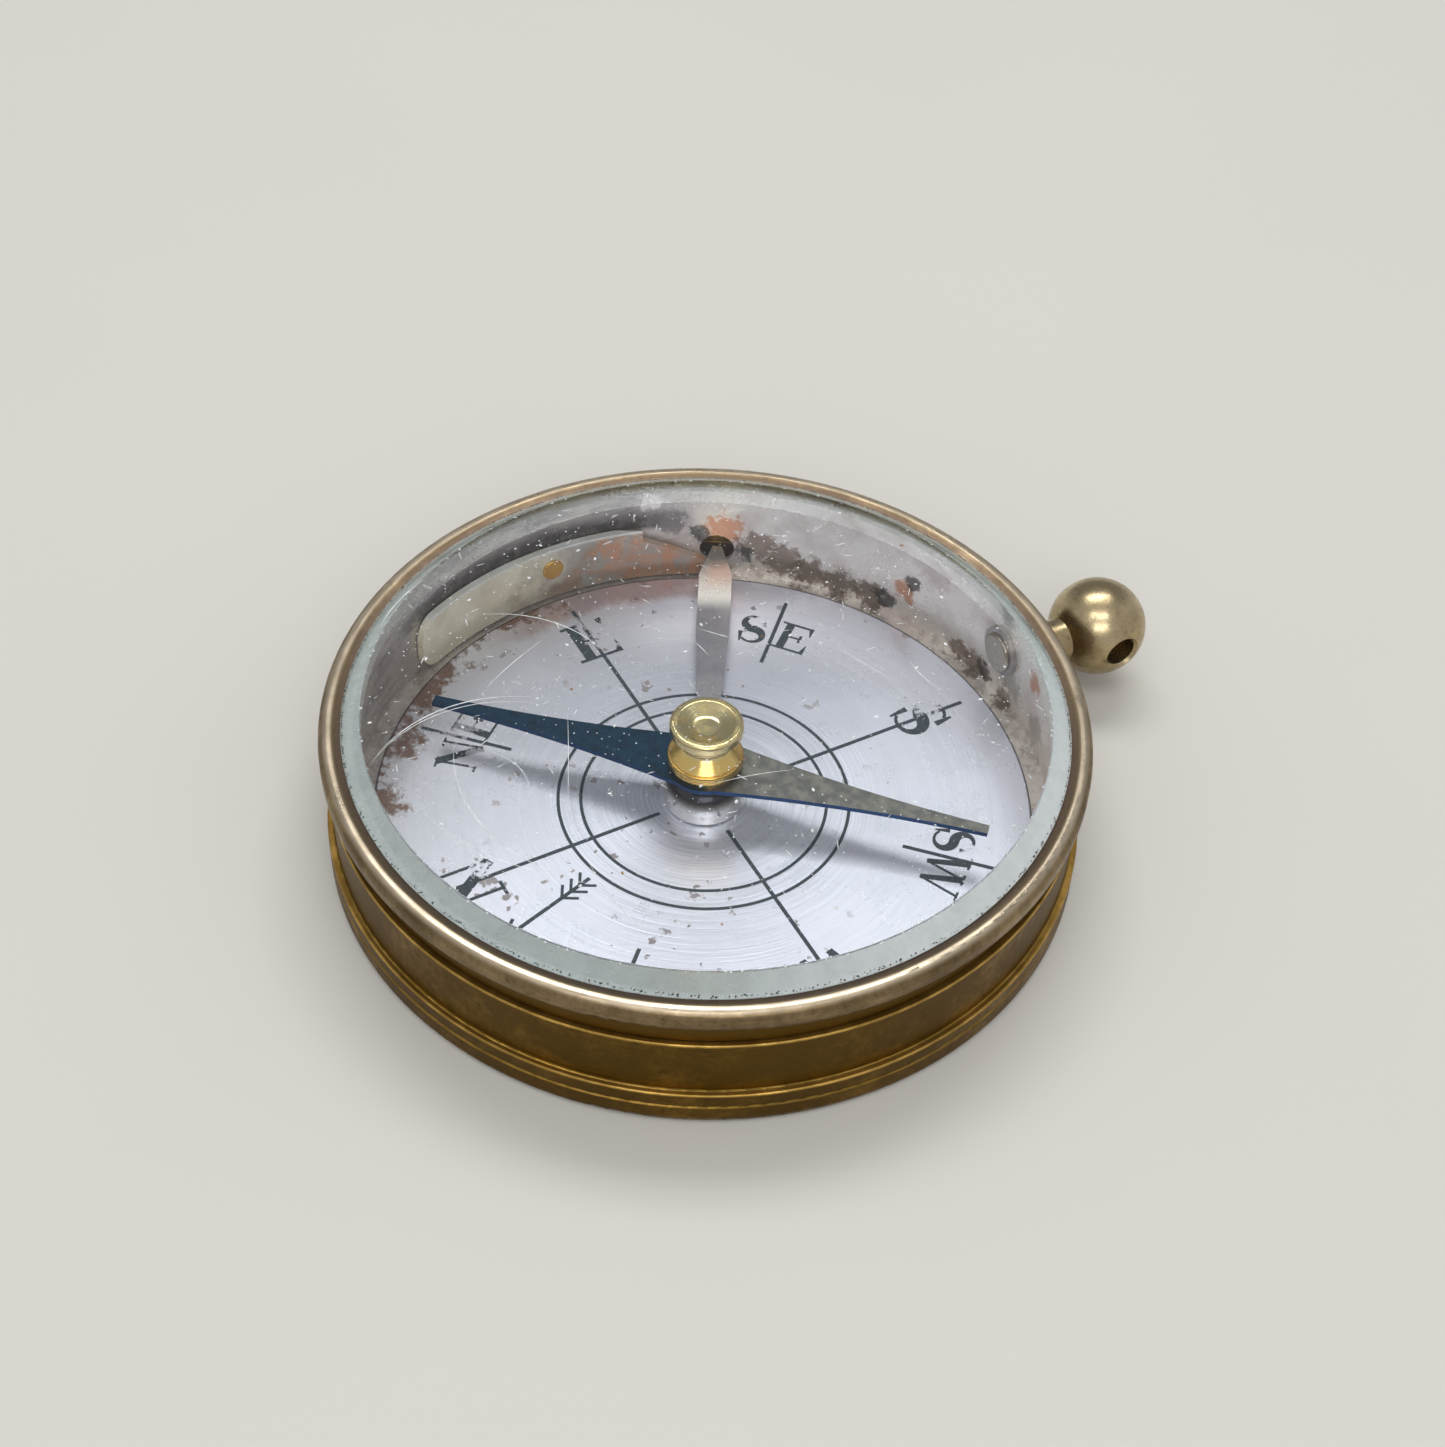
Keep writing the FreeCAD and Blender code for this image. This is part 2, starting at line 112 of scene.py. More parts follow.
def minus(tree, a, b, clamp=False):
    return calc(tree, "SUBTRACT", a, b, clamp)


def larger(tree, a, b):
    return calc(tree, "MAXIMUM", a, b)


def blended(tree, amount, a, b, mode="MIX"):
    return addNode(tree, "Mix", {0: amount, 6: a, 7: b}, data_type="RGBA", blend_type=mode).outputs[2]


def between(tree, amount, a, b):
    return addNode(tree, "Mix", {0: amount, 2: a, 3: b}, data_type="FLOAT").outputs[0]


def stepped(tree, value, low, high, start=0.0, end=1.0):
    # rises smoothly from start to end while value goes from low to high
    inputs = dict(enumerate((value, low, high, start, end)))
    return addNode(tree, "MapRange", inputs, interpolation_type="SMOOTHSTEP").outputs[0]


def noiseAt(tree, place, scale, detail=4.0, rough=0.55):
    inputs = {"Vector": place, "Scale": scale, "Detail": detail, "Roughness": rough}
    return addNode(tree, "TexNoise", inputs).outputs[0]


def vectorOf(tree, x, y, z):
    return addNode(tree, "CombineXYZ", {0: x, 1: y, 2: z}).outputs[0]


def vectorCalc(tree, operation, a, b=(0, 0, 0), scale=1.0):
    outputs = addNode(tree, "VectorMath", {0: a, 1: b, 3: scale}, operation=operation).outputs
    return outputs["Value" if operation in ("LENGTH", "DOT_PRODUCT") else "Vector"]


def dot(tree, a, b):
    return vectorCalc(tree, "DOT_PRODUCT", a, b)


def newGroup(name, inputs, outputs):
    # whether an input starts as a number, a vector or a colour decides its kind
    group = bpy.data.node_groups.new(name, "ShaderNodeTree")
    for label, value in inputs.items():
        kind = {3: "Vector", 4: "Color"}[len(value)] if isinstance(value, tuple) else "Float"
        socket = group.interface.new_socket(label, in_out="INPUT", socket_type="NodeSocket" + kind)
        socket.default_value = value
    for label, kind in outputs.items():
        group.interface.new_socket(label, in_out="OUTPUT", socket_type="NodeSocket" + kind)
    return group, group.nodes.new("NodeGroupInput").outputs, group.nodes.new("NodeGroupOutput").inputs


def giveResults(group, give, **results):
    for label, value in results.items():
        feed(group, value, give[label])
    return group


def useGroup(tree, group, **values):
    return makeNode(tree, "ShaderNodeGroup", values, node_tree=group).outputs


# effects that several finishes share

def makeCasePlaces():
    # millimetre coordinates about the case's axis
    group, _, give = newGroup("case places", {}, {
        "Place": "Vector", "Around": "Vector", "Radius": "Float", "Height": "Float"})
    place = vectorCalc(group, "SCALE", addNode(group, "TexCoord").outputs["Object"], scale=1000.0)
    x, y, z = addNode(group, "SeparateXYZ", {0: place}).outputs
    flat = vectorOf(group, x, y, 0.0)
    return giveResults(group, give, Place=place, Around=vectorCalc(group, "NORMALIZE", flat),
                       Radius=vectorCalc(group, "LENGTH", flat), Height=z)


def makeTurnedGrain():
    # fine lathe lines that run round the axis, slightly uneven
    group, take, give = newGroup("turned grain", {
        "Radius": 0.0, "Height": 0.0, "Around": (0, 0, 0), "Lines": 6.0, "Drift": 0.6,
    }, {"Grain": "Float", "Broad": "Float"})
    along = vectorCalc(group, "SCALE", take["Around"], scale=take["Drift"])
    level = vectorOf(group, times(group, take["Radius"], take["Lines"]),
                     times(group, take["Height"], take["Lines"]), 0.0)
    coarse = vectorCalc(group, "SCALE", level, scale=0.12)
    return giveResults(group, give, Grain=noiseAt(group, vectorCalc(group, "ADD", level, along), 1.0, 3.0, 0.7),
                       Broad=noiseAt(group, vectorCalc(group, "ADD", coarse, along), 1.0, 2.0))


def makeSpots():
    # scattered ragged spots; each cell draws its own size, and many stay empty
    group, take, give = newGroup("spots", {
        "Place": (0, 0, 0), "Spacing": 1.0, "Amount": 0.3, "Size": 0.4, "Ragged": 0.3}, {"Mask": "Float"})
    scale = calc(group, "DIVIDE", 1.0, take["Spacing"])
    wander = addNode(group, "TexNoise", {"Vector": take["Place"], "Scale": times(group, scale, 3.0)})
    centred = vectorCalc(group, "SUBTRACT", wander.outputs["Color"], (0.5, 0.5, 0.5))
    push = vectorCalc(group, "SCALE", centred, scale=times(group, take["Ragged"], take["Spacing"]))
    pushed = vectorCalc(group, "ADD", take["Place"], push)
    cells = addNode(group, "TexVoronoi", {"Vector": pushed, "Scale": scale}).outputs
    pick = addNode(group, "SeparateColor", {0: cells["Color"]}).outputs[0]
    chosen = calc(group, "DIVIDE", minus(group, take["Amount"], pick), take["Amount"], True)
    inside = minus(group, times(group, chosen, take["Size"]), cells["Distance"])
    return giveResults(group, give, Mask=stepped(group, inside, 0.0, 0.07))


def makePaintedHighlightLine():
    # a painted highlight: a bright line where an edge stands proud, broken here and there
    group, take, give = newGroup("painted highlight line", {
        "Across": 0.0, "Level": 0.0, "Width": 0.1, "Place": (0, 0, 0), "Breaks": 0.5}, {"Mask": "Float"})
    away = calc(group, "ABSOLUTE", minus(group, take["Across"], take["Level"]))
    highlight = stepped(group, away, take["Width"], 0.0)
    patchy = stepped(group, noiseAt(group, take["Place"], 0.55, 5.0, 0.6), 0.34, 0.62)
    keep = minus(group, 1.0, times(group, take["Breaks"], patchy))
    return giveResults(group, give, Mask=times(group, highlight, keep))


def makeStainPatch():
    # one ragged stain about a given point
    group, take, give = newGroup("stain patch", {
        "Place": (0, 0, 0), "Centre": (0, 0, 0), "Reach": 1.0, "Ragged": 0.5}, {"Mask": "Float"})
    away = vectorCalc(group, "LENGTH", vectorCalc(group, "SUBTRACT", take["Place"], take["Centre"]))
    near = minus(group, 1.0, calc(group, "DIVIDE", away, take["Reach"]), True)
    spread = stepped(group, near, 0.0, 0.9, 0.0, 0.42)
    return giveResults(group, give, Mask=stepped(group, plus(group, take["Ragged"], spread), 0.7, 0.86))


finishOutputs = {"Color": "Color", "Roughness": "Float", "Height": "Float"}


def makePatina():
    # old brass: a brown film of uneven depth, with dark pits and small rubbed places
    group, take, give = newGroup("patina", {
        "Place": (0, 0, 0), "Metal": (0.5, 0.35, 0.1, 1), "Film": (0.1, 0.06, 0.01, 1),
        "Depth": 0.6, "Scale": 0.3}, finishOutputs)
    cloud = noiseAt(group, take["Place"], take["Scale"], 6.0, 0.62)
    mottle = noiseAt(group, take["Place"], times(group, take["Scale"], 9.0), 4.0, 0.7)
    both = plus(group, times(group, cloud, 0.7), times(group, mottle, 0.3))
    film = stepped(group, plus(group, both, minus(group, take["Depth"], 0.5)), 0.3, 0.68)
    colour = blended(group, film, take["Metal"], take["Film"])
    pitted = blended(group, stepped(group, mottle, 0.60, 0.74, 0.0, 0.55), colour, (0.012, 0.008, 0.003, 1))
    rough = plus(group, 0.24, times(group, film, 0.24))
    return giveResults(group, give, Color=pitted, Roughness=rough, Height=both)


def makeSilvering():
    # thin silvering that has gone lilac and brown in places
    group, take, give = newGroup("silvering", {
        "Place": (0, 0, 0), "Silver": (0.6, 0.6, 0.62, 1), "Dull": (0.35, 0.32, 0.36, 1),
        "Stain": (0.2, 0.1, 0.05, 1), "Tarnish": 0.3, "Stained": 0.3, "Scale": 0.3}, finishOutputs)
    cloud = noiseAt(group, take["Place"], take["Scale"], 6.0, 0.6)
    blot = noiseAt(group, take["Place"], times(group, take["Scale"], 3.1), 7.0, 0.66)
    dull = stepped(group, plus(group, cloud, minus(group, take["Tarnish"], 0.5)), 0.3, 0.7)
    stain = stepped(group, plus(group, blot, minus(group, take["Stained"], 0.5)), 0.5, 0.66)
    colour = blended(group, dull, take["Silver"], take["Dull"])
    rougher = plus(group, times(group, dull, 0.12), times(group, stain, 0.25))
    return giveResults(group, give, Color=blended(group, stain, colour, take["Stain"]),
                       Roughness=plus(group, 0.26, rougher), Height=blot)


casePlaces = makeCasePlaces()
turnedGrain = makeTurnedGrain()
spots = makeSpots()
paintedHighlightLine = makePaintedHighlightLine()
stainPatch = makeStainPatch()
patina = makePatina()
silvering = makeSilvering()
print("shared effects ready")


def newMaterial(name, **values):
    # returns the material, its tree, its Principled shader and the places on the case
    material = bpy.data.materials.new(name)
    material.use_nodes = True
    tree = material.node_tree
    shader = tree.nodes["Principled BSDF"]
    for key, value in values.items():
        shader.inputs[key.replace("_", " ")].default_value = value
    return material, tree, shader, useGroup(tree, casePlaces)


def feedFinish(tree, shader, colour, rough, alpha=1.0):
    for label, value in (("Base Color", colour), ("Roughness", rough), ("Alpha", alpha)):
        feed(tree, value, shader.inputs[label])


def bumped(tree, shader, height, depth):
    # depth in millimetres
    bump = addNode(tree, "Bump", {"Distance": depth * mm, "Height": height})
    feed(tree, bump.outputs[0], shader.inputs["Normal"])


def sideMask(tree, spot, heading, low, high, start=0.0, end=1.0):
    # rises on the side of the case that lies towards a heading
    towards = dot(tree, spot["Around"], tuple(directionOf(heading, 0)))
    return stepped(tree, towards, low, high, start, end)


def patchAt(tree, place, heading, radius, height, reach, ragged):
    centre = directionOf(heading, 0) * radius
    centre.z = height
    return useGroup(tree, stainPatch, Place=place, Centre=tuple(centre), Reach=reach, Ragged=ragged)["Mask"]


def grainAt(tree, spot, lines=6.0, drift=0.6):
    return useGroup(tree, turnedGrain, Radius=spot["Radius"], Height=spot["Height"], Around=spot["Around"],
                    Lines=lines, Drift=drift)


def silveredBase(tree, place, settings):
    labels = ("Silver", "Dull", "Stain", "Tarnish", "Stained", "Scale")
    return useGroup(tree, silvering, Place=place, **{label: settings[label.lower()] for label in labels})


# brass outside, silvered inside

outerBrass = {
    "metal": tone(150, 112, 36),
    "film": tone(92, 67, 13),
    "filmDepth": 0.64,
    # painted highlight: colour of the bright lines painted along the ledges of the base and band
    "edge": tone(206, 166, 88),
    "lineWidth": 0.13,
    "grainDepth": 0.012,
    "metallic": 0.92,
    "insideFloor": (0.3, 0.5),  # the silvered inside begins between these heights
    # heights of the painted highlight lines along the ledges, how bright they are, and the radius inside which it is
    # silvered
    "parts": {
        "base": ((1.44,), 0.4, 21.7),
        "band": ((2.46, 6.40), 1.0, 21.3),
    },
}
silverWall = {
    "silver": tone(246, 238, 230),
    "dull": tone(214, 198, 192),
    "mauve": tone(184, 175, 168),
    "streak": tone(126, 118, 118),
    "stain": tone(128, 106, 90),
    "rust": tone(200, 134, 96),
    # dark colour for soot stains, and for the painted shadow above the lock's strip
    "soot": tone(56, 50, 48),
    "tarnish": 0.42,
    "stained": 0.16,
    "scale": 0.34,
    "darkSide": 208,  # heading of the side where the wall is painted darkest
    "radius": 21.1,
    "footStain": (1.7, 0.9),  # brown along the foot, between these heights
    "stripSide": 186,  # heading of the strip's middle
    "stripTop": 4.7,  # a painted shadow lies on the wall just above the lock's strip
    "stainDepth": 0.85,
    "metallic": 0.5,
    # heading, height, reach and colour of single stains
    "stains": (
        (149, 4.2, 2.8, "rust"), (143, 3.0, 2.6, "stain"), (138, 2.1, 2.8, "stain"), (133, 1.7, 2.6, "stain"),
        (127, 1.5, 2.6, "stain"), (121, 1.5, 2.4, "stain"), (118, 1.7, 1.6, "soot"), (153, 3.8, 1.4, "soot"),
        (145, 2.2, 1.4, "soot"), (114, 3.1, 1.7, "rust"), (112.5, 4.0, 1.3, "soot"),
        (101, 1.2, 1.8, "stain"), (97, 1.2, 1.9, "stain"), (94, 1.3, 1.5, "soot"), (88, 1.1, 1.8, "stain"),
        (79, 5.0, 1.5, "rust"), (90, 7.3, 1.5, "streak"), (158, 4.8, 2.0, "streak"), (92, 4.4, 2.4, "mauve"),
        (86, 2.8, 2.4, "mauve"), (76, 2.1, 2.4, "mauve"), (162, 6.6, 1.5, "silver"), (108, 5.6, 2.4, "dull"),
    ),
}


def patinaColour(tree, spot, settings, grainAmount=0.35):
    # the brown film with lathe lines in it
    base = useGroup(tree, patina, Place=spot["Place"], Metal=settings["metal"], Film=settings["film"],
                    Depth=settings["filmDepth"], Scale=settings.get("scale", 0.22))
    grain = grainAt(tree, spot, 5.0, 1.6)
    shade = stepped(tree, grain["Grain"], 0.3, 0.7, 0.72, 1.2)
    tinted = blended(tree, grainAmount, base["Color"], vectorOf(tree, shade, shade, shade), "MULTIPLY")
    return tinted, base["Roughness"], plus(tree, grain["Grain"], base["Height"])


def highlightLines(tree, spot, levels, width, across="Height", breaks=0.55):
    # several painted highlight lines joined into one mask
    total = 0.0
    for level in levels:
        highlight = useGroup(tree, paintedHighlightLine, Across=spot[across], Level=level, Width=width,
                        Place=spot["Place"], Breaks=breaks)["Mask"]
        total = larger(tree, total, highlight)
    return total


def wallSilver(tree, spot):
    # mauve and streaky on one side, milky on the other, stained round the lever's hole
    place = spot["Place"]
    side = sideMask(tree, spot, silverWall["darkSide"], 0.35, 0.82)
    base = silveredBase(tree, place, silverWall)
    streaks = noiseAt(tree, vectorCalc(tree, "MULTIPLY", place, (0.35, 0.35, 1.6)), 0.9, 5.0, 0.66)
    mauve = blended(tree, stepped(tree, streaks, 0.44, 0.7), silverWall["mauve"], silverWall["streak"])
    colour = blended(tree, times(tree, side, 0.9), base["Color"], mauve)
    ragged = noiseAt(tree, place, 1.3, 7.0, 0.74)
    low = stepped(tree, spot["Height"], *silverWall["footStain"], 0.0, 0.16)
    foot = stepped(tree, plus(tree, low, ragged), 0.62, 0.8, 0.0, 0.5)
    colour = blended(tree, foot, colour, silverWall["stain"])
    # painted shadow: a dark band painted on the wall just above the lock's strip, on the strip's side
    above = minus(tree, spot["Height"], silverWall["stripTop"])
    band = times(tree, stepped(tree, above, -0.5, 0.0), stepped(tree, above, 1.9, 0.5))
    stripSide = sideMask(tree, spot, silverWall["stripSide"], 0.84, 0.92)
    uneven = times(tree, stripSide, stepped(tree, ragged, 0.25, 0.6, 0.6, 0.95))
    colour = blended(tree, times(tree, band, uneven), colour, silverWall["soot"])
    for heading, height, reach, shade in silverWall["stains"]:
        patch = patchAt(tree, place, heading, silverWall["radius"], height, reach, ragged)
        colour = blended(tree, times(tree, patch, silverWall["stainDepth"]), colour, silverWall[shade])
    return colour, base


def makeCaseBrass(part):
    levels, brightness, wallRadius = outerBrass["parts"][part]
    material, tree, shader, spot = newMaterial("aged brass " + part)
    outside, rough, bumps = patinaColour(tree, spot, outerBrass)
    # painted highlight: bright lines painted along the ledges
    lines = times(tree, highlightLines(tree, spot, levels, outerBrass["lineWidth"]), brightness)
    colour = blended(tree, lines, outside, outerBrass["edge"])
    inside = times(tree, stepped(tree, spot["Radius"], wallRadius + 0.2, wallRadius),
                   stepped(tree, spot["Height"], *outerBrass["insideFloor"]))
    wall, silver = wallSilver(tree, spot)
    rough = minus(tree, rough, times(tree, lines, 0.14))
    feedFinish(tree, shader, blended(tree, inside, colour, wall), between(tree, inside, rough, silver["Roughness"]))
    feed(tree, between(tree, inside, outerBrass["metallic"], silverWall["metallic"]), shader.inputs["Metallic"])
    bumped(tree, shader, bumps, outerBrass["grainDepth"])
    return material


bezelBrass = {
    "metal": tone(160, 138, 102),
    "film": tone(104, 86, 60),
    "filmDepth": 0.54,
    # painted highlight on the bezel's crest
    "crest": tone(250, 232, 204),
    "slope": tone(124, 107, 94),
    "grainDepth": 0.012,
    "shadow": (8.6, 7.9),  # painted shade under the bead: the dark film colour is painted in below these heights
    "crestRadius": 21.95,
    "crestWidth": 0.42,
    "top": (8.9, 9.2),
    "slopeRadius": (21.7, 21.4),
}


def makeBezelBrass():
    material, tree, shader, spot = newMaterial("worn bezel brass", Metallic=0.94)
    outside, rough, bumps = patinaColour(tree, spot, bezelBrass)
    # painted shade: the dark film colour painted under the bead
    low = stepped(tree, spot["Height"], *bezelBrass["shadow"])
    colour = blended(tree, low, outside, outerBrass["film"])
    # painted highlight: a bright ring painted round the crest of the bezel
    crest = highlightLines(tree, spot, (bezelBrass["crestRadius"],), bezelBrass["crestWidth"], "Radius", 0.25)
    top = stepped(tree, spot["Height"], *bezelBrass["top"])
    crest = times(tree, crest, top)
    colour = blended(tree, times(tree, crest, 0.8), colour, bezelBrass["crest"])
    slope = times(tree, stepped(tree, spot["Radius"], *bezelBrass["slopeRadius"]), top)
    colour = blended(tree, times(tree, slope, 0.7), colour, bezelBrass["slope"])
    feedFinish(tree, shader, colour, minus(tree, rough, times(tree, crest, 0.1)))
    bumped(tree, shader, bumps, bezelBrass["grainDepth"])
    return material


# plain turned or rubbed brass, each with its own colours

plainBrass = {
    "spring_brass": {"metal": tone(168, 150, 112), "film": tone(112, 98, 72), "filmDepth": 0.5, "rough": 0.06},
    "post_brass": {"metal": tone(206, 184, 120), "film": tone(160, 132, 70), "filmDepth": 0.4, "rough": 0.0},
    # ribs: lowest and highest level and pitch; waist: level of its top and its colour
    "polished_brass": {"metal": tone(250, 232, 178), "film": tone(232, 196, 108), "filmDepth": 0.4, "rough": -0.08,
                       "scale": 0.7, "ribs": (4.38, 4.94, 0.14), "groove": tone(128, 92, 30),
                       "waist": (5.6, tone(250, 206, 112))},
    "button_brass": {"metal": tone(176, 142, 76), "film": tone(104, 78, 30), "filmDepth": 0.6, "rough": 0.0,
                     "within": tone(244, 196, 108)},
    "pendant_brass": {"metal": tone(200, 182, 144), "film": tone(146, 126, 90), "filmDepth": 0.5, "rough": -0.04,
                      "scale": 0.2, "within": tone(176, 168, 160)},
}
insideRadius = 21.2  # nearer the axis than this, a riveted end has its own colour


def makePlainBrass(slot):
    settings = plainBrass[slot]
    material, tree, shader, spot = newMaterial(slot.replace("_", " "), Metallic=0.97)
    colour, rough, bumps = patinaColour(tree, spot, settings, 0.25)
    if "within" in settings:
        end = stepped(tree, spot["Radius"], insideRadius, insideRadius - 0.2)
        colour = blended(tree, times(tree, end, 0.8), colour, settings["within"])
    if "waist" in settings:
        # richer gold below the cap's dish
        top, gold = settings["waist"]
        colour = blended(tree, stepped(tree, spot["Height"], top + 0.3, top, 0.0, 0.85), colour, gold)
    if "ribs" in settings:
        # close turned ribs round the cap's flange
        low, high, pitch = settings["ribs"]
        level = calc(tree, "DIVIDE", minus(tree, spot["Height"], low), pitch)
        wave = calc(tree, "SINE", times(tree, level, 2 * math.pi))
        ribbed = times(tree, stepped(tree, spot["Height"], low - 0.05, low),
                       stepped(tree, spot["Height"], high + 0.05, high))
        ribbed = times(tree, ribbed, stepped(tree, spot["Radius"], 2.0, 2.1))
        groove = times(tree, stepped(tree, wave, 0.1, -0.7), ribbed)
        colour = blended(tree, times(tree, groove, 0.7), colour, settings["groove"])
        bumps = minus(tree, bumps, times(tree, groove, 3.0))
    feedFinish(tree, shader, colour, plus(tree, rough, settings["rough"]))
    bumped(tree, shader, bumps, 0.006)
    return material


# silvered parts inside

silveredParts = {
    "wedge_brass": {"silver": tone(250, 242, 218), "dull": tone(222, 212, 184), "stain": tone(172, 140, 112),
                    "tarnish": 0.44, "stained": 0.3, "scale": 0.34, "metallic": 0.3},
    "lever_nickel": {"silver": tone(164, 160, 164), "dull": tone(126, 122, 130), "stain": tone(112, 104, 102),
                     "tarnish": 0.5, "stained": 0.2, "scale": 0.3, "metallic": 0.8},
    "washer_brass": {"silver": tone(190, 184, 180), "dull": tone(150, 142, 140), "stain": tone(104, 92, 84),
                     "tarnish": 0.5, "stained": 0.3, "scale": 0.6, "metallic": 0.5},
}
stripWear = {
    "tail": 208,  # heading of the strip's round end, where it stays pale and yellowish
    "mauve": tone(160, 152, 149),
    "brown": tone(176, 142, 116),
    "rust": tone(214, 152, 112),
    # painted highlight along the strip's top edge
    "edge": tone(244, 243, 238),
    "top": 4.66,
    "foot": (3.0, 1.0),  # it browns between these heights
    "rustFrom": 158,
}
leverWear = {
    # bright colour of the polished dome and tip; on the dome's low rim it is also a painted highlight
    "bright": tone(250, 248, 243),
    "shade": tone(62, 62, 68),
    "shadeFrom": 1.95,  # painted reflection: the dome is painted darker above this height
    "dome": 2.9,  # radius of the polished dome
    "tip": 15.4,  # the tip is bright from here out
}


def makeStripWear(tree, spot, colour):
    # mauve and brown towards the ramp, rust along the foot, a painted highlight line along the top edge
    tailWay = tuple(directionOf(stripWear["tail"], 0))
    fromTail = minus(tree, 0.97, dot(tree, spot["Around"], tailWay))
    cloud = noiseAt(tree, spot["Place"], 0.45, 6.0, 0.65)
    mauve = stepped(tree, plus(tree, fromTail, times(tree, cloud, 0.3)), 0.14, 0.3)
    colour = blended(tree, times(tree, mauve, 0.85), colour, stripWear["mauve"])
    low = plus(tree, cloud, stepped(tree, spot["Height"], *stripWear["foot"], 0.0, 0.12))
    brown = times(tree, mauve, stepped(tree, low, 0.52, 0.66))
    colour = blended(tree, times(tree, brown, 0.7), colour, stripWear["brown"])
    near = sideMask(tree, spot, stripWear["rustFrom"], 0.93, 0.995, 0.0, 0.3)
    flakes = noiseAt(tree, spot["Place"], 0.9, 6.0, 0.7)
    rust = stepped(tree, plus(tree, flakes, near), 0.66, 0.92, 0.0, 0.75)
    colour = blended(tree, rust, colour, stripWear["rust"])
    # painted highlight: a bright line painted along the strip's top edge
    highlight = highlightLines(tree, spot, (stripWear["top"],), 0.24, breaks=0.4)
    return blended(tree, highlight, colour, stripWear["edge"]), highlight


def makeSilvered(slot):
    settings = silveredParts[slot]
    material, tree, shader, spot = newMaterial(slot.replace("_", " "), Metallic=settings["metallic"])
    base = silveredBase(tree, spot["Place"], settings)
    colour = base["Color"]
    rough = base["Roughness"]
    if slot == "wedge_brass":
        colour, highlight = makeStripWear(tree, spot, colour)
        rough = minus(tree, rough, times(tree, highlight, 0.12))
    if slot == "lever_nickel":
        # polished dome painted bright, on its low rim also a painted highlight, and its top painted dark as a
        # painted reflection; grey strip, bright tip
        dome = stepped(tree, spot["Radius"], leverWear["dome"], leverWear["dome"] - 0.3)
        tip = stepped(tree, spot["Radius"], leverWear["tip"], leverWear["tip"] + 1.6)
        colour = blended(tree, times(tree, larger(tree, dome, tip), 0.85), colour, leverWear["bright"])
        # painted reflection: the dome's top painted dark
        high = stepped(tree, spot["Height"], leverWear["shadeFrom"], leverWear["shadeFrom"] + 0.9)
        colour = blended(tree, times(tree, dome, high), colour, leverWear["shade"])
        rough = minus(tree, rough, times(tree, dome, 0.16))
    feedFinish(tree, shader, colour, rough)
    bumped(tree, shader, base["Height"], 0.02)
    return material


dialFinish = {
    "silver": tone(240, 241, 254),
    "dull": tone(228, 227, 241),
    "stain": tone(176, 156, 144),
    "edge": tone(40, 34, 34),
    "spot": tone(120, 98, 84),
    "patch": tone(112, 76, 52),
    "clouded": tone(172, 167, 167),
    "flush": tone(178, 148, 150),
    "tarnish": 0.42,
    "stained": 0.12,
    "scale": 0.13,
    "grainDepth": 0.007,
    "grainNear": (13.0, 6.0),  # the lathe lines show more towards the middle, between these radii
    "wornHeading": 222,  # brown patches gather at this side
    "flushHeading": 172,  # the silver has gone pinkish along the edge here
    "flushRadius": (18.6, 19.6),
    "rimRadius": (15.5, 20.0),  # brown patches gather towards the rim
    "edgeRadius": (19.66, 19.78),
}


def makeDialSilver():
    material, tree, shader, spot = newMaterial("silvered dial", Metallic=0.58, Anisotropic=0.55)
    place = spot["Place"]
    tangent = addNode(tree, "Tangent", direction_type="RADIAL", axis="Z")
    feed(tree, tangent.outputs[0], shader.inputs["Tangent"])
    base = silveredBase(tree, place, dialFinish)
    grain = grainAt(tree, spot, 7.0, 1.1)
    near = stepped(tree, spot["Radius"], *dialFinish["grainNear"])
    shade = stepped(tree, grain["Grain"], 0.3, 0.7, 0.78, 1.12)
    colour = blended(tree, plus(tree, 0.25, times(tree, near, 0.5)), base["Color"],
                     vectorOf(tree, shade, shade, shade), "MULTIPLY")
    ragged = noiseAt(tree, place, 0.5, 6.0, 0.7)
    raggedRadius = plus(tree, spot["Radius"], times(tree, ragged, 2.4))
    flush = times(tree, sideMask(tree, spot, dialFinish["flushHeading"], 0.86, 0.97),
                  stepped(tree, raggedRadius, *dialFinish["flushRadius"]))
    colour = blended(tree, times(tree, flush, 0.8), colour, dialFinish["flush"])
    wornWay = tuple(directionOf(dialFinish["wornHeading"], 0))
    towardsWorn = calc(tree, "DIVIDE", dot(tree, place, wornWay), dialFinish["rimRadius"][1])
    small = useGroup(tree, spots, Place=place, Spacing=0.85, Amount=0.6, Size=0.34, Ragged=0.7)
    large = useGroup(tree, spots, Place=place, Spacing=2.1, Amount=0.42, Size=0.3, Ragged=0.9)
    spread = plus(tree, noiseAt(tree, place, 0.13, 2.0), times(tree, towardsWorn, 0.2))
    spread = stepped(tree, spread, 0.44, 0.6, 0.1, 1.0)
    spotty = times(tree, larger(tree, small["Mask"], large["Mask"]), spread)
    colour = blended(tree, times(tree, spotty, 0.7), colour, dialFinish["spot"])
    colour = blended(tree, stepped(tree, towardsWorn, 0.15, 1.0, 0.0, 0.5), colour, dialFinish["clouded"])
    wornSide = stepped(tree, towardsWorn, 0.5, 0.98, 0.0, 0.3)
    rim = stepped(tree, spot["Radius"], *dialFinish["rimRadius"], 0.0, 0.2)
    patch = stepped(tree, plus(tree, ragged, plus(tree, wornSide, rim)), 0.88, 1.0)
    colour = blended(tree, times(tree, patch, 0.9), colour, dialFinish["patch"])
    edge = stepped(tree, spot["Radius"], *dialFinish["edgeRadius"])
    colour = blended(tree, times(tree, edge, 0.85), colour, dialFinish["edge"])
    feedFinish(tree, shader, colour, plus(tree, base["Roughness"], times(tree, spotty, 0.25)))
    bumped(tree, shader, grain["Grain"], dialFinish["grainDepth"])
    return material


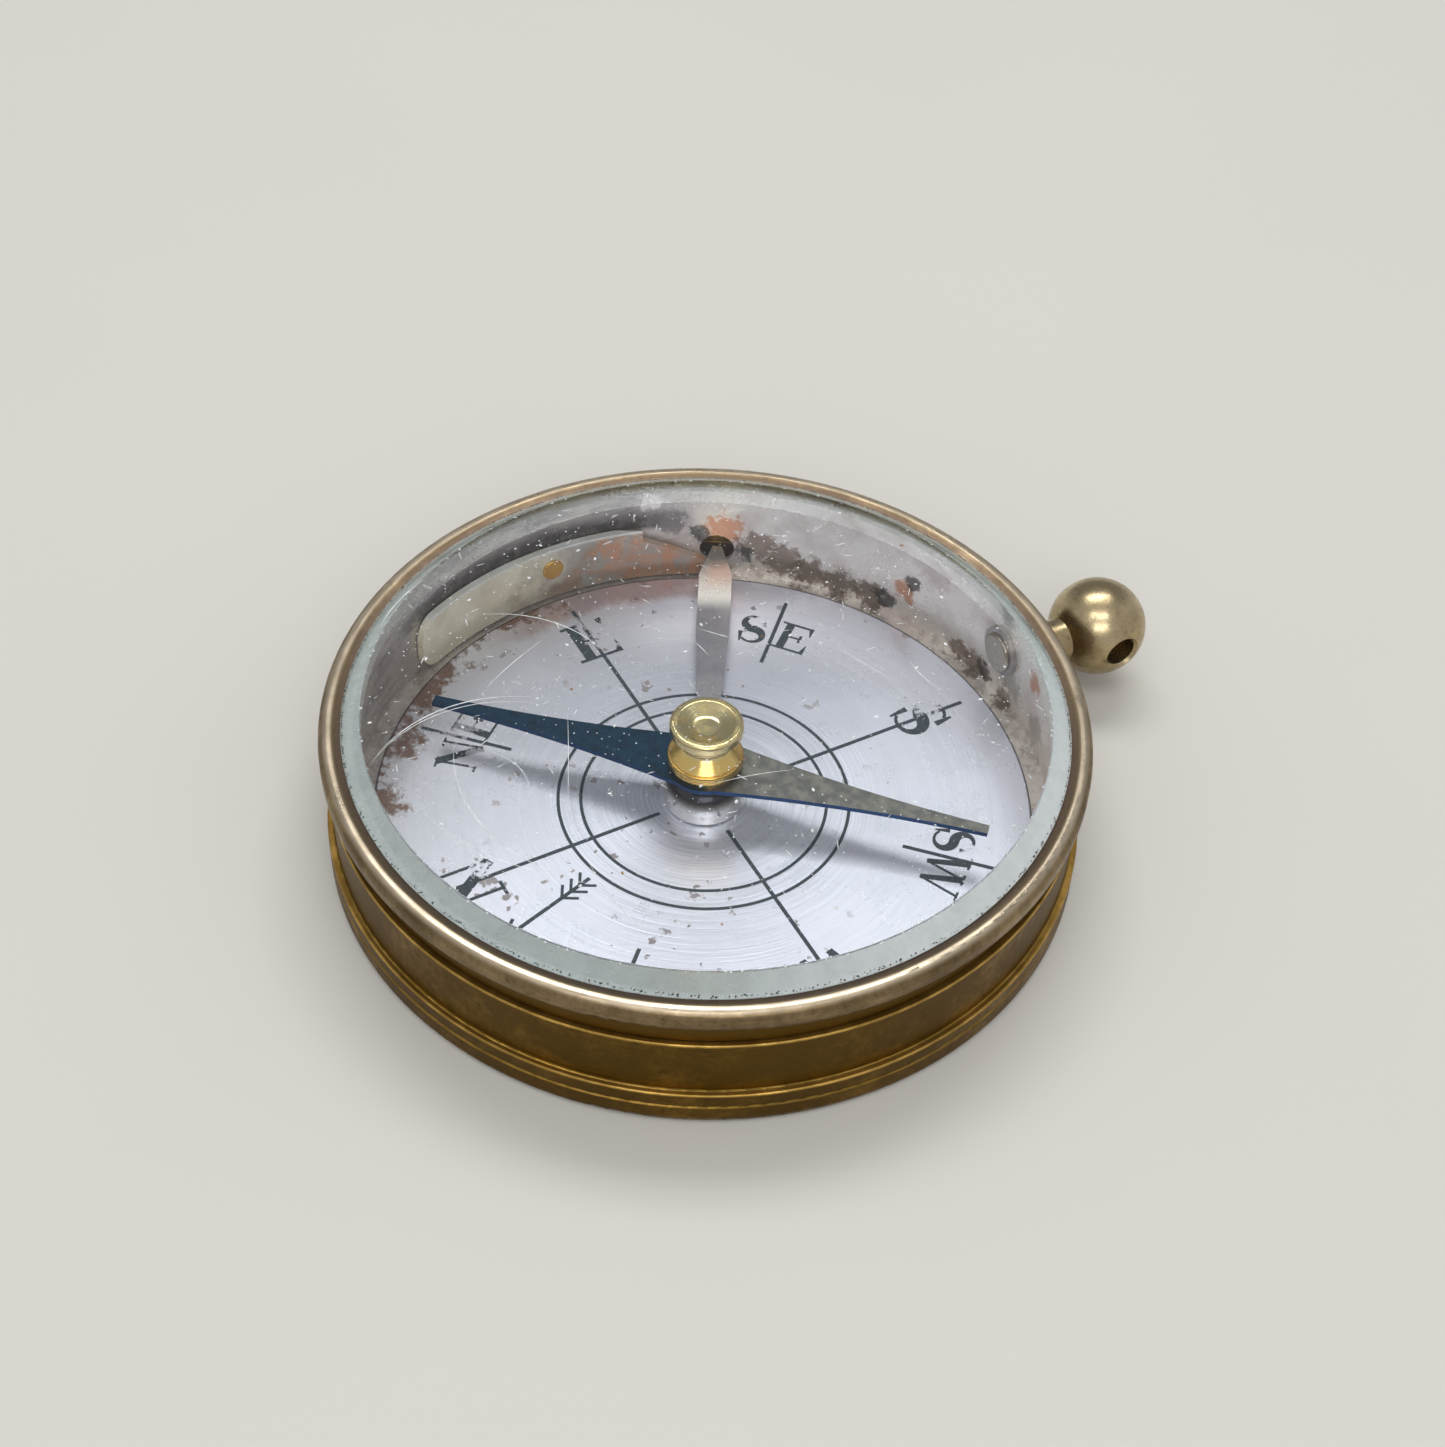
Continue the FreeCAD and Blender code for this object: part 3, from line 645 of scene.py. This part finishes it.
# steel of the needle and the pivot, and the stone

needleSteel = {
    "heading": 225.6,
    "blue": tone(9, 56, 80),
    "blueDark": tone(5, 36, 54),
    "blueEdge": tone(18, 62, 108),
    "grey": tone(110, 110, 106),
    "greyWorn": tone(134, 132, 124),
}


def makeNeedleSteel():
    material, tree, shader, spot = newMaterial("blued and grey steel", Metallic=0.85)
    northWay = tuple(directionOf(needleSteel["heading"], 0))
    north = dot(tree, spot["Place"], northWay)
    blueHalf = stepped(tree, north, -1.2, -0.4)
    flow = noiseAt(tree, spot["Place"], 1.2, 5.0, 0.65)
    greyTop = blended(tree, stepped(tree, flow, 0.4, 0.65), needleSteel["grey"], needleSteel["greyWorn"])
    blueTop = blended(tree, stepped(tree, flow, 0.35, 0.7), needleSteel["blue"], needleSteel["blueDark"])
    top = blended(tree, blueHalf, greyTop, blueTop)
    facing = addNode(tree, "SeparateXYZ", {0: addNode(tree, "NewGeometry").outputs["True Normal"]})
    side = stepped(tree, calc(tree, "ABSOLUTE", facing.outputs[2]), 0.6, 0.3)
    feedFinish(tree, shader, blended(tree, side, top, needleSteel["blueEdge"]),
               stepped(tree, flow, 0.3, 0.7, 0.3, 0.42))
    bumped(tree, shader, noiseAt(tree, spot["Place"], 9.0, 3.0), 0.006)
    return material


def makePivotSteel():
    material, tree, shader, spot = newMaterial("polished steel", Metallic=1.0)
    grain = grainAt(tree, spot)
    feedFinish(tree, shader, blended(tree, grain["Broad"], tone(190, 190, 194), tone(160, 160, 166)),
               stepped(tree, grain["Grain"], 0.3, 0.7, 0.14, 0.26))
    return material


def makeAgate():
    material, tree, shader, spot = newMaterial("agate", Subsurface_Weight=0.15)
    veins = noiseAt(tree, vectorCalc(tree, "MULTIPLY", spot["Place"], (1, 1, 3)), 2.2, 4.0)
    feedFinish(tree, shader, blended(tree, stepped(tree, veins, 0.35, 0.65), tone(168, 92, 68), tone(206, 150, 116)),
               stepped(tree, veins, 0.3, 0.7, 0.08, 0.16))
    return material


# glass

glassFinish = {
    "clear": (0.965, 0.975, 0.97, 1),
    "bevel": tone(222, 236, 230),
    "through": (0.93, 0.945, 0.94, 1),
    "bevelStart": 19.99,
    "bevelRoughness": 0.3,
}


def makeGlass():
    material, tree, shader, spot = newMaterial("bevelled glass", IOR=1.5, Transmission_Weight=1.0)
    onBevel = stepped(tree, spot["Radius"], glassFinish["bevelStart"], glassFinish["bevelStart"] + 0.04)
    ground = stepped(tree, noiseAt(tree, spot["Place"], 1.4, 5.0), 0.3, 0.7, 0.8, 1.2)
    feedFinish(tree, shader, blended(tree, onBevel, glassFinish["clear"], glassFinish["bevel"]),
               times(tree, times(tree, onBevel, ground), glassFinish["bevelRoughness"]))
    # light reaches the dial as through an open window; a ray caught between the plate's faces refracts out
    path = addNode(tree, "LightPath")
    mirrored = minus(tree, path.outputs["Is Glossy Ray"], path.outputs["Is Transmission Ray"], True)
    caught = calc(tree, "ABSOLUTE", minus(tree, path.outputs["Transmission Depth"], 1.0))
    mirrored = times(tree, mirrored, calc(tree, "MINIMUM", caught, 1.0))
    straight = larger(tree, path.outputs["Is Shadow Ray"], path.outputs["Is Diffuse Ray"])
    straight = larger(tree, straight, mirrored)
    through = addNode(tree, "BsdfTransparent", {0: glassFinish["through"]})
    mix = addNode(tree, "MixShader", {0: straight, 1: shader.outputs[0], 2: through.outputs[0]})
    feed(tree, mix.outputs[0], tree.nodes["Material Output"].inputs["Surface"])
    return material


slotMaterials = {
    "case_brass": makeCaseBrass("base"),
    "band_brass": makeCaseBrass("band"),
    "bezel_brass": makeBezelBrass(),
    "bevelled_glass": makeGlass(),
    "silvered_brass": makeDialSilver(),
    "pivot_steel": makePivotSteel(),
    "blued_steel": makeNeedleSteel(),
    "agate": makeAgate(),
}
for slot in plainBrass:
    slotMaterials[slot] = makePlainBrass(slot)
for slot in silveredParts:
    slotMaterials[slot] = makeSilvered(slot)
for part in frame["record"]["subparts"]:
    for holder in nodes[part["node"]].material_slots:
        holder.material = slotMaterials[part["material_slot"]]
print("finishes ready on", len(slotMaterials), "material slots")


# printed dial: circles, lines and plain serif letters, laid as thin ink

dialPrint = {
    "level": 1.0,  # about the height of the dial's face
    "inkHeight": 0.02,
    "layerStep": 0.0015,  # keeps crossing strokes apart
    "circles": (8.8, 7.43),
    "circleWidth": 0.2,
    "lineWidth": 0.24,
    "lineStart": 3.0,
    "lineEnd": 18.4,
    "cardinals": {"W": 0, "S": 90, "E": 180, "N": 270},
    "cardinalMiddle": 15.4,
    "cardinalHeight": 3.4,
    "betweens": {"SW": 45, "SE": 135, "NE": 225, "NW": 315},
    "betweenMiddle": 15.3,
    "betweenHeight": 2.5,
    "betweenSpread": 5.2,  # degrees from the separator to each letter
    "separator": (12.4, 18.3),
    "arrowHeading": 287,
    "arrow": (9.4, 16.4),
    "arrowBarb": (1.7, 0.75, 0.2),  # length, half spread, width
    "feathers": (0.8, 1.5, 2.2),  # places along the shaft
    "feather": (0.7, 0.18),  # reach, width
    "ink": tone(28, 42, 50),
    "inkPale": tone(52, 66, 76),
    # heading, radius and reach of places where the ink has come away
    "wornPlaces": ((176, 15.4, 3.0), (179, 17.0, 1.8), (222, 16.2, 3.0), (230, 14.2, 2.2), (93, 16.2, 2.4),
                   (267, 14.4, 1.6), (48, 16.4, 1.4), (139, 16.2, 1.6)),
}
# straight strokes in a unit square: x and y of both ends, then one width or one for each end
letterBars = {
    "E": ((-0.24, 0, -0.24, 1, 0.21), (-0.46, 0.97, 0.36, 0.97, 0.06), (-0.46, 0.03, 0.38, 0.03, 0.06),
          (-0.2, 0.51, 0.16, 0.51, 0.05), (0.32, 1.0, 0.36, 0.68, 0.13, 0.02), (0.34, 0.0, 0.39, 0.34, 0.13, 0.02),
          (0.15, 0.38, 0.15, 0.64, 0.07)),
    "N": ((-0.34, 0, -0.34, 1, 0.06), (0.34, 0, 0.34, 1, 0.06), (-0.36, 1.0, 0.33, 0.0, 0.2),
          (-0.54, 0.98, -0.2, 0.98, 0.06), (-0.5, 0.02, -0.18, 0.02, 0.06), (0.18, 0.98, 0.5, 0.98, 0.06)),
    "W": ((-0.54, 1.0, -0.25, 0.0, 0.19, 0.13), (-0.25, 0.0, 0.0, 1.0, 0.06), (0.0, 1.0, 0.27, 0.0, 0.19, 0.13),
          (0.27, 0.0, 0.54, 1.0, 0.06), (-0.72, 0.98, -0.36, 0.98, 0.06), (-0.16, 0.98, 0.16, 0.98, 0.06),
          (0.4, 0.98, 0.68, 0.98, 0.06)),
    "S": ((0.24, 1.0, 0.27, 0.66, 0.04, 0.12), (-0.27, 0.0, -0.3, 0.36, 0.04, 0.12)),
}


def arcPoints(centre, radiusX, radiusY, start, end, count):
    points = []
    for step in range(count + 1):
        angle = math.radians(start + (end - start) * step / count)
        points.append((centre[0] + radiusX * math.cos(angle), centre[1] + radiusY * math.sin(angle)))
    return points


def swelling(count, thin, thick):
    # stroke widths that are thin at both ends and thick in the middle
    return [thin + (thick - thin) * math.sin(math.pi * step / (count - 1)) ** 3 for step in range(count)]


def letterStrokes(letter):
    # each stroke is a path and its widths
    strokes = []
    if letter == "S":
        upper = arcPoints((0, 0.735), 0.25, 0.235, 35, 270, 14)
        lower = arcPoints((0, 0.255), 0.28, 0.245, 90, -145, 14)
        spine = upper + lower[1:]
        strokes.append((spine, swelling(len(spine), 0.06, 0.25)))
    for bar in letterBars[letter]:
        strokes.append(([bar[0:2], bar[2:4]], [bar[4], bar[-1]]))
    return strokes


def joinRows(mesh, rows, nextRows):
    # four faces between each row of corners and the next
    for here, there in zip(rows, nextRows):
        for corner in range(4):
            following = (corner + 1) % 4
            mesh.faces.new((here[corner], here[following], there[following], there[corner]))


def addStroke(mesh, path, widths, low, high):
    # a closed flat bar along a path; its width may change from point to point
    count = len(path)
    rows = []
    for index, point in enumerate(path):
        before = Vector(path[max(index - 1, 0)])
        after = Vector(path[min(index + 1, count - 1)])
        along = (after - before).normalized()
        aside = Vector((-along.y, along.x)) * widths[index] / 2
        left = Vector(point) + aside
        right = Vector(point) - aside
        rows.append([mesh.verts.new((edge.x * mm, edge.y * mm, level * mm))
                     for edge, level in ((left, low), (right, low), (right, high), (left, high))])
    joinRows(mesh, rows, rows[1:])
    mesh.faces.new(rows[0][::-1])
    mesh.faces.new(rows[-1])


def addRing(mesh, corners, count=128):
    # a closed ring about the axis, from the four corners of its section
    rows = []
    for step in range(count):
        angle = 2 * math.pi * step / count
        rows.append([mesh.verts.new((r * math.cos(angle) * mm, r * math.sin(angle) * mm, z * mm))
                     for r, z in corners])
    joinRows(mesh, rows, rows[1:] + rows[:1])


def addLoop(mesh, radius, width, low, high):
    # a flat line round the dial
    outer, inner = radius + width / 2, radius - width / 2
    addRing(mesh, ((outer, low), (inner, low), (inner, high), (outer, high)))


def placeObject(name, data):
    item = bpy.data.objects.new(name, data)
    bpy.context.scene.collection.objects.link(item)
    return item


def meshData(mesh, name):
    data = bpy.data.meshes.new(name)
    mesh.to_mesh(data)
    mesh.free()
    return data


def finishPiece(mesh, name, material, body):
    bmesh.ops.recalc_face_normals(mesh, faces=mesh.faces)
    data = meshData(mesh, name)
    data.materials.append(material)
    piece = placeObject(name, data)
    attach(piece, body)
    return piece


def makeInk():
    material, tree, shader, spot = newMaterial("dial ink", Metallic=0.0)
    chips = noiseAt(tree, spot["Place"], 3.6, 5.0, 0.75)
    worn = stepped(tree, chips, 0.61, 0.66)
    for heading, radius, reach in dialPrint["wornPlaces"]:
        worn = larger(tree, worn, patchAt(tree, spot["Place"], heading, radius, dialPrint["level"], reach, chips))
    feedFinish(tree, shader, blended(tree, stepped(tree, chips, 0.35, 0.62), dialPrint["ink"], dialPrint["inkPale"]),
               stepped(tree, chips, 0.3, 0.7, 0.35, 0.6), minus(tree, 1.0, worn))
    return material


def flatWays(heading):
    # outwards along a heading, and to the right of it
    turn = math.radians(heading)
    return Vector((math.cos(turn), math.sin(turn))), Vector((math.sin(turn), -math.cos(turn)))


def makeDialPrint():
    mesh = bmesh.new()
    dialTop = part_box("dial_plate")[1].z / mm
    layer = [0]

    def stroke(path, widths):
        layer[0] = (layer[0] + 1) % 6
        addStroke(mesh, path, widths, dialTop, dialTop + dialPrint["inkHeight"] + layer[0] * dialPrint["layerStep"])

    def radial(heading, near, far):
        out, _ = flatWays(heading)
        stroke([out * near, out * far], [dialPrint["lineWidth"]] * 2)

    def letter(which, heading, middle, height):
        out, across = flatWays(heading)
        for path, widths in letterStrokes(which):
            placed = [out * (middle + (y - 0.5) * height) + across * x * height for x, y in path]
            stroke(placed, [width * height for width in widths])

    for radius in dialPrint["circles"]:
        addLoop(mesh, radius, dialPrint["circleWidth"], dialTop, dialTop + dialPrint["inkHeight"])
    for which, heading in dialPrint["cardinals"].items():
        radial(heading, dialPrint["lineStart"], dialPrint["lineEnd"])
        letter(which, heading, dialPrint["cardinalMiddle"], dialPrint["cardinalHeight"])
    for pair, heading in dialPrint["betweens"].items():
        radial(heading, *dialPrint["separator"])
        for which, side in zip(pair, (1, -1)):
            turned = heading + side * dialPrint["betweenSpread"]
            letter(which, turned, dialPrint["betweenMiddle"], dialPrint["betweenHeight"])
    near, far = dialPrint["arrow"]
    radial(dialPrint["arrowHeading"], near, far)
    out, across = flatWays(dialPrint["arrowHeading"])
    barb, spread, barbWidth = dialPrint["arrowBarb"]
    reach, featherWidth = dialPrint["feather"]
    for side in (-1, 1):
        stroke([out * far, out * (far - barb) + across * side * spread], [barbWidth, barbWidth])
        for feather in dialPrint["feathers"]:
            root = out * (near + feather)
            stroke([root, root - out * reach + across * side * reach], [featherWidth, featherWidth])
    return finishPiece(mesh, "dial_print", makeInk(), "case")


makeDialPrint()
print("dial printed")


# wear on the glass: long fine scratches, specks of dust, fibres and grit

glassWear = {
    "lift": 0.004,
    "scratchHeight": 0.006,
    "scratchSteps": 18,
    "pale": tone(236, 238, 238),
    "grit": tone(150, 112, 66),
    "grime": tone(58, 50, 42),
    # start x, start y, heading, length, bend over the length (degrees), width
    "scratches": (
        (-3.5, -14.4, -28, 12.9, 72, 0.061), (0.6, -18.2, 12, 10.0, 46, 0.054), (-3.7, -19.5, 132, 11.8, -80, 0.068),
        (-4.1, -19.0, 126, 10.8, -76, 0.047), (-1.9, -13.1, 46, 4.4, -74, 0.047), (-2.7, -7.7, -24, 7.4, -3, 0.041),
        (7.5, -11.5, -8, 7.3, 30, 0.047), (-12.5, -9.0, 72, 9.0, -68, 0.061), (-5.7, 2.3, 41, 2.6, 0, 0.054),
        (-5.4, 1.4, 20, 2.2, -20, 0.041), (-14.0, -14.7, 138, 5.3, -30, 0.068), (-9.0, -6.0, -70, 6.0, 12, 0.041),
        (6.0, -3.0, 84, 5.0, -14, 0.041), (-1.0, 9.0, 14, 5.0, 16, 0.041), (2.0, 12.4, -12, 3.6, 40, 0.041),
    ),
}
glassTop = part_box("crystal")[1].z / mm
glassSlope = 0.66  # fall of the bevel for each step outwards


def addScratch(mesh, scratch, low, high):
    x, y, heading, length, bend, width = scratch
    count = glassWear["scratchSteps"]
    path = []
    place = Vector((x, y))
    for step in range(count + 1):
        path.append(tuple(place))
        place = place + flatWays(heading + bend * step / count)[0] * length / count
    widths = [width * max(math.sin(math.pi * step / count), 0.12) for step in range(count + 1)]
    addStroke(mesh, path, widths, low, high)


def makeWear(name, colour):
    material, tree, shader, spot = newMaterial(name)
    uneven = noiseAt(tree, spot["Place"], 2.5, 3.0)
    darker = tuple(channel * 0.7 for channel in colour[:3]) + (1,)
    feedFinish(tree, shader, blended(tree, stepped(tree, uneven, 0.35, 0.65), colour, darker),
               stepped(tree, uneven, 0.3, 0.7, 0.4, 0.7))
    return material


paleWear = makeWear("pale dust", glassWear["pale"])
brownGrit = makeWear("brown grit", glassWear["grit"])
darkGrime = makeWear("dark grime", glassWear["grime"])


def makeScratches():
    mesh = bmesh.new()
    low = glassTop + glassWear["lift"]
    for scratch in glassWear["scratches"]:
        addScratch(mesh, scratch, low, low + glassWear["scratchHeight"])
    return finishPiece(mesh, "glass_scratches", paleWear, "case")


# what is set on the scatter, and for each kind of wear its zone and those values in the same order
scatterInputs = ("Density", "Smallest", "Largest", "Length", "Flatness", "Patchiness", "Seed", "Finish")
scatterKinds = {
    "glass_dust": ("face", 1900000.0, 0.01 * mm, 0.05 * mm, 1.5, 0.4, 0.6, 4, paleWear),
    "glass_specks": ("face", 180000.0, 0.04 * mm, 0.1 * mm, 1.7, 0.3, 0.85, 7, paleWear),
    "glass_fibres": ("face", 190000.0, 0.014 * mm, 0.033 * mm, 13.0, 0.6, 0.5, 11, paleWear),
    "glass_grit": ("face", 36000.0, 0.03 * mm, 0.1 * mm, 1.5, 0.25, 0.9, 23, brownGrit),
    "lip_grime": ("lip", 60000000.0, 0.02 * mm, 0.055 * mm, 1.8, 0.5, 0.6, 31, darkGrime),
    "bevel_chips": ("edge", 16000000.0, 0.02 * mm, 0.075 * mm, 1.5, 0.3, 0.85, 41, paleWear),
}
# each zone is a band about the axis: inner and outer radius
scatterZones = {"face": (0.0, 19.6), "lip": (21.04, 21.16), "edge": (19.93, 20.1)}


def makeScatterTree():
    # small flat flakes scattered over a disc, thicker in some places than others
    tree = bpy.data.node_groups.new("scattered flakes", "GeometryNodeTree")
    kinds = {"Geometry": "Geometry", "Seed": "Int", "Finish": "Material"}
    for label in ("Geometry", *scatterInputs):
        tree.interface.new_socket(label, in_out="INPUT", socket_type="NodeSocket" + kinds.get(label, "Float"))
    tree.interface.new_socket("Geometry", in_out="OUTPUT", socket_type="NodeSocketGeometry")
    take = makeNode(tree, "NodeGroupInput").outputs
    field = addNode(tree, "TexNoise", {"Scale": 190.0}).outputs[0]
    patchy = addNode(tree, "MapRange", {"Value": field, "From Min": 0.42, "From Max": 0.62}).outputs[0]
    density = times(tree, take["Density"], between(tree, take["Patchiness"], 1.0, patchy))
    spread = makeNode(tree, "GeometryNodeDistributePointsOnFaces", {
        "Mesh": take["Geometry"], "Density": density, "Seed": take["Seed"]})
    flake = makeNode(tree, "GeometryNodeMeshIcoSphere", {"Radius": 1.0, "Subdivisions": 1})
    size = makeNode(tree, "FunctionNodeRandomValue", {
        2: take["Smallest"], 3: take["Largest"], "Seed": take["Seed"]}, data_type="FLOAT")
    turn = makeNode(tree, "FunctionNodeRandomValue", {
        0: (-0.1, -0.1, 0.0), 1: (0.1, 0.1, 2 * math.pi), "Seed": take["Seed"]}, data_type="FLOAT_VECTOR")
    shape = vectorOf(tree, take["Length"], 1.0, take["Flatness"])
    placed = makeNode(tree, "GeometryNodeInstanceOnPoints", {
        "Points": spread.outputs["Points"], "Instance": flake.outputs["Mesh"],
        "Scale": vectorCalc(tree, "SCALE", shape, scale=size.outputs[1]), "Rotation": turn.outputs[0]})
    real = makeNode(tree, "GeometryNodeRealizeInstances", {0: placed.outputs[0]})
    finish = makeNode(tree, "GeometryNodeSetMaterial", {"Geometry": real.outputs[0], "Material": take["Finish"]})
    makeNode(tree, "NodeGroupOutput", {"Geometry": finish.outputs[0]})
    return tree


def makeSheet(name, inner, outer, count=96):
    # a disc or a narrow cone just over the glass, which the flakes are scattered on
    rows = []
    mesh = bmesh.new()
    for radius in (max(inner, 0.01), outer):
        drop = max(radius - glassFinish["bevelStart"], 0.0) * glassSlope
        level = glassTop + glassWear["lift"] - drop
        rows.append([mesh.verts.new((radius * mm * math.cos(turn), radius * mm * math.sin(turn), level * mm))
                     for turn in (2 * math.pi * step / count for step in range(count))])
    for step in range(count):
        following = (step + 1) % count
        mesh.faces.new((rows[0][step], rows[1][step], rows[1][following], rows[0][following]))
    return meshData(mesh, name)


def makeScatter(name, tree):
    zone, *values = scatterKinds[name]
    settings = dict(zip(scatterInputs, values))
    sheet = makeSheet(name + "_sheet", *scatterZones[zone])
    holder = placeObject(name + "_sheet", sheet)
    modifier = holder.modifiers.new("scatter", "NODES")
    modifier.node_group = tree
    for item in tree.interface.items_tree:
        if item.in_out == "INPUT" and item.name in settings:
            modifier[item.identifier] = settings[item.name]
    depsgraph = bpy.context.evaluated_depsgraph_get()
    data = bpy.data.meshes.new_from_object(holder.evaluated_get(depsgraph))
    holder.modifiers.remove(modifier)
    bpy.data.objects.remove(holder)
    bpy.data.meshes.remove(sheet)
    data.name = name
    piece = placeObject(name, data)
    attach(piece, "case")
    return piece


bevelFilm = {
    "outer": 21.2,
    "thickness": 0.004,
    "colour": tone(194, 205, 200),
    "cover": 0.3,
    "heavySide": 25,  # heading of the side where the film is whitest
    "heavyCover": 0.16,
    "chalkAndSheen": tone(218, 222, 220),
}


def makeBevelFilm():
    # a thin film of old polish and dirt that has dried on the ground bevel, and a painted sheen that lightens the
    # bevel, whitest on one side
    material, tree, shader, spot = newMaterial("dried film and painted sheen")
    cloud = noiseAt(tree, spot["Place"], 0.5, 6.0, 0.65)
    heavy = sideMask(tree, spot, bevelFilm["heavySide"], 0.55, 0.95)
    thin = stepped(tree, cloud, 0.3, 0.7, 0.7 * bevelFilm["cover"], 1.2 * bevelFilm["cover"])
    cover = plus(tree, times(tree, heavy, bevelFilm["heavyCover"]), thin)
    start = glassFinish["bevelStart"]
    edge = minus(tree, spot["Radius"], times(tree, noiseAt(tree, spot["Place"], 2.4, 4.0), 0.14))
    feedFinish(tree, shader, blended(tree, heavy, bevelFilm["colour"], bevelFilm["chalkAndSheen"]),
               stepped(tree, cloud, 0.3, 0.7, 0.5, 0.8),
               times(tree, cover, stepped(tree, edge, start - 0.04, start + 0.03)))
    mesh = bmesh.new()
    outer = bevelFilm["outer"]
    low = glassTop + glassWear["lift"] * 0.5
    fall = (outer - start) * glassSlope
    thick = bevelFilm["thickness"]
    addRing(mesh, ((outer, low - fall), (start, low), (start, low + thick), (outer, low - fall + thick)), 192)
    return finishPiece(mesh, "bevel_film", material, "case")


makeBevelFilm()
makeScratches()
scatterTree = makeScatterTree()
for name in scatterKinds:
    scattered = makeScatter(name, scatterTree)
    print(name, len(scattered.data.polygons), "faces")


# floor, light and camera

studio = {
    "floorTone": tone(214, 211, 202),
    "floorSize": 1500,
    "floorGap": 0.02,
    "worldTone": (0.93, 0.95, 1.0, 1),
    "worldStrength": 0.6,
    "quietStrength": 0.24,  # one side of the room is dimmer, so the glass throws back little of it
    "quietWay": (150, 42),
    # azimuth, elevation, distance, size, power
    "lamps": {
        "overhead": (-30, 68, 420, (300, 120), 0.33),
        "behind": (150, 66, 420, (320, 130), 0.72),
        "front": (-24, 40, 420, (240, 140), 0.3),
    },
}
cameraView = {
    "aim": (-2.77, 2.66, 4.5),
    "distance": 143.0,
    "azimuth": -30.0,
    "elevation": 45.25,
    "roll": 2.7,
    "lens": 58.5,
}


def makeFloor():
    half = studio["floorSize"] * mm / 2
    data = bpy.data.meshes.new("floor")
    data.from_pydata([(-half, -half, 0), (half, -half, 0), (half, half, 0), (-half, half, 0)], [], [(0, 1, 2, 3)])
    material, tree, shader, _ = newMaterial("pale floor", Roughness=0.9)
    coords = addNode(tree, "TexCoord").outputs["Object"]
    cloud = noiseAt(tree, coords, 30.0, 3.0)
    darker = tuple(channel * 0.97 for channel in studio["floorTone"][:3]) + (1,)
    feed(tree, blended(tree, cloud, studio["floorTone"], darker), shader.inputs["Base Color"])
    data.materials.append(material)
    floor = placeObject("floor", data)
    floor.location.z = cadBounds[0][2] - studio["floorGap"] * mm


def makeWorld():
    world = bpy.data.worlds.new("studio")
    world.use_nodes = True
    bpy.context.scene.world = world
    tree = world.node_tree
    background = tree.nodes["Background"]
    background.inputs["Color"].default_value = studio["worldTone"]
    heading = addNode(tree, "TexCoord").outputs["Generated"]
    towardsQuiet = dot(tree, heading, tuple(directionOf(*studio["quietWay"])))
    strength = stepped(tree, towardsQuiet, 0.5, 0.88, studio["worldStrength"], studio["quietStrength"])
    feed(tree, strength, background.inputs["Strength"])


def lookMatrix(towardsCamera, place, roll=0.0):
    # right, up and back axes of a camera or lamp that looks against towardsCamera
    right = Vector((0, 0, 1)).cross(towardsCamera).normalized()
    up = towardsCamera.cross(right)
    turn = math.radians(roll)
    rolledRight = right * math.cos(turn) + up * math.sin(turn)
    rolledUp = up * math.cos(turn) - right * math.sin(turn)
    matrix = Matrix((rolledRight, rolledUp, towardsCamera)).transposed().to_4x4()
    matrix.translation = place
    return matrix


def makeLamp(name, azimuth, elevation, distance, size, power):
    data = bpy.data.lights.new(name, "AREA")
    data.shape = "RECTANGLE"
    data.size = size[0] * mm
    data.size_y = size[1] * mm
    data.energy = power
    lamp = placeObject(name, data)
    direction = directionOf(azimuth, elevation)
    lamp.matrix_world = lookMatrix(direction, direction * distance * mm)


def makeCamera():
    data = bpy.data.cameras.new("camera")
    data.sensor_width = 36
    data.lens = cameraView["lens"]
    data.clip_start = 0.001
    camera = placeObject("camera", data)
    direction = directionOf(cameraView["azimuth"], cameraView["elevation"])
    place = (Vector(cameraView["aim"]) + direction * cameraView["distance"]) * mm
    camera.matrix_world = lookMatrix(direction, place, cameraView["roll"])
    bpy.context.scene.camera = camera


makeFloor()
makeWorld()
for name, settings in studio["lamps"].items():
    makeLamp(name, *settings)
makeCamera()
bpy.context.scene.view_settings.view_transform = "Standard"
print("studio ready")
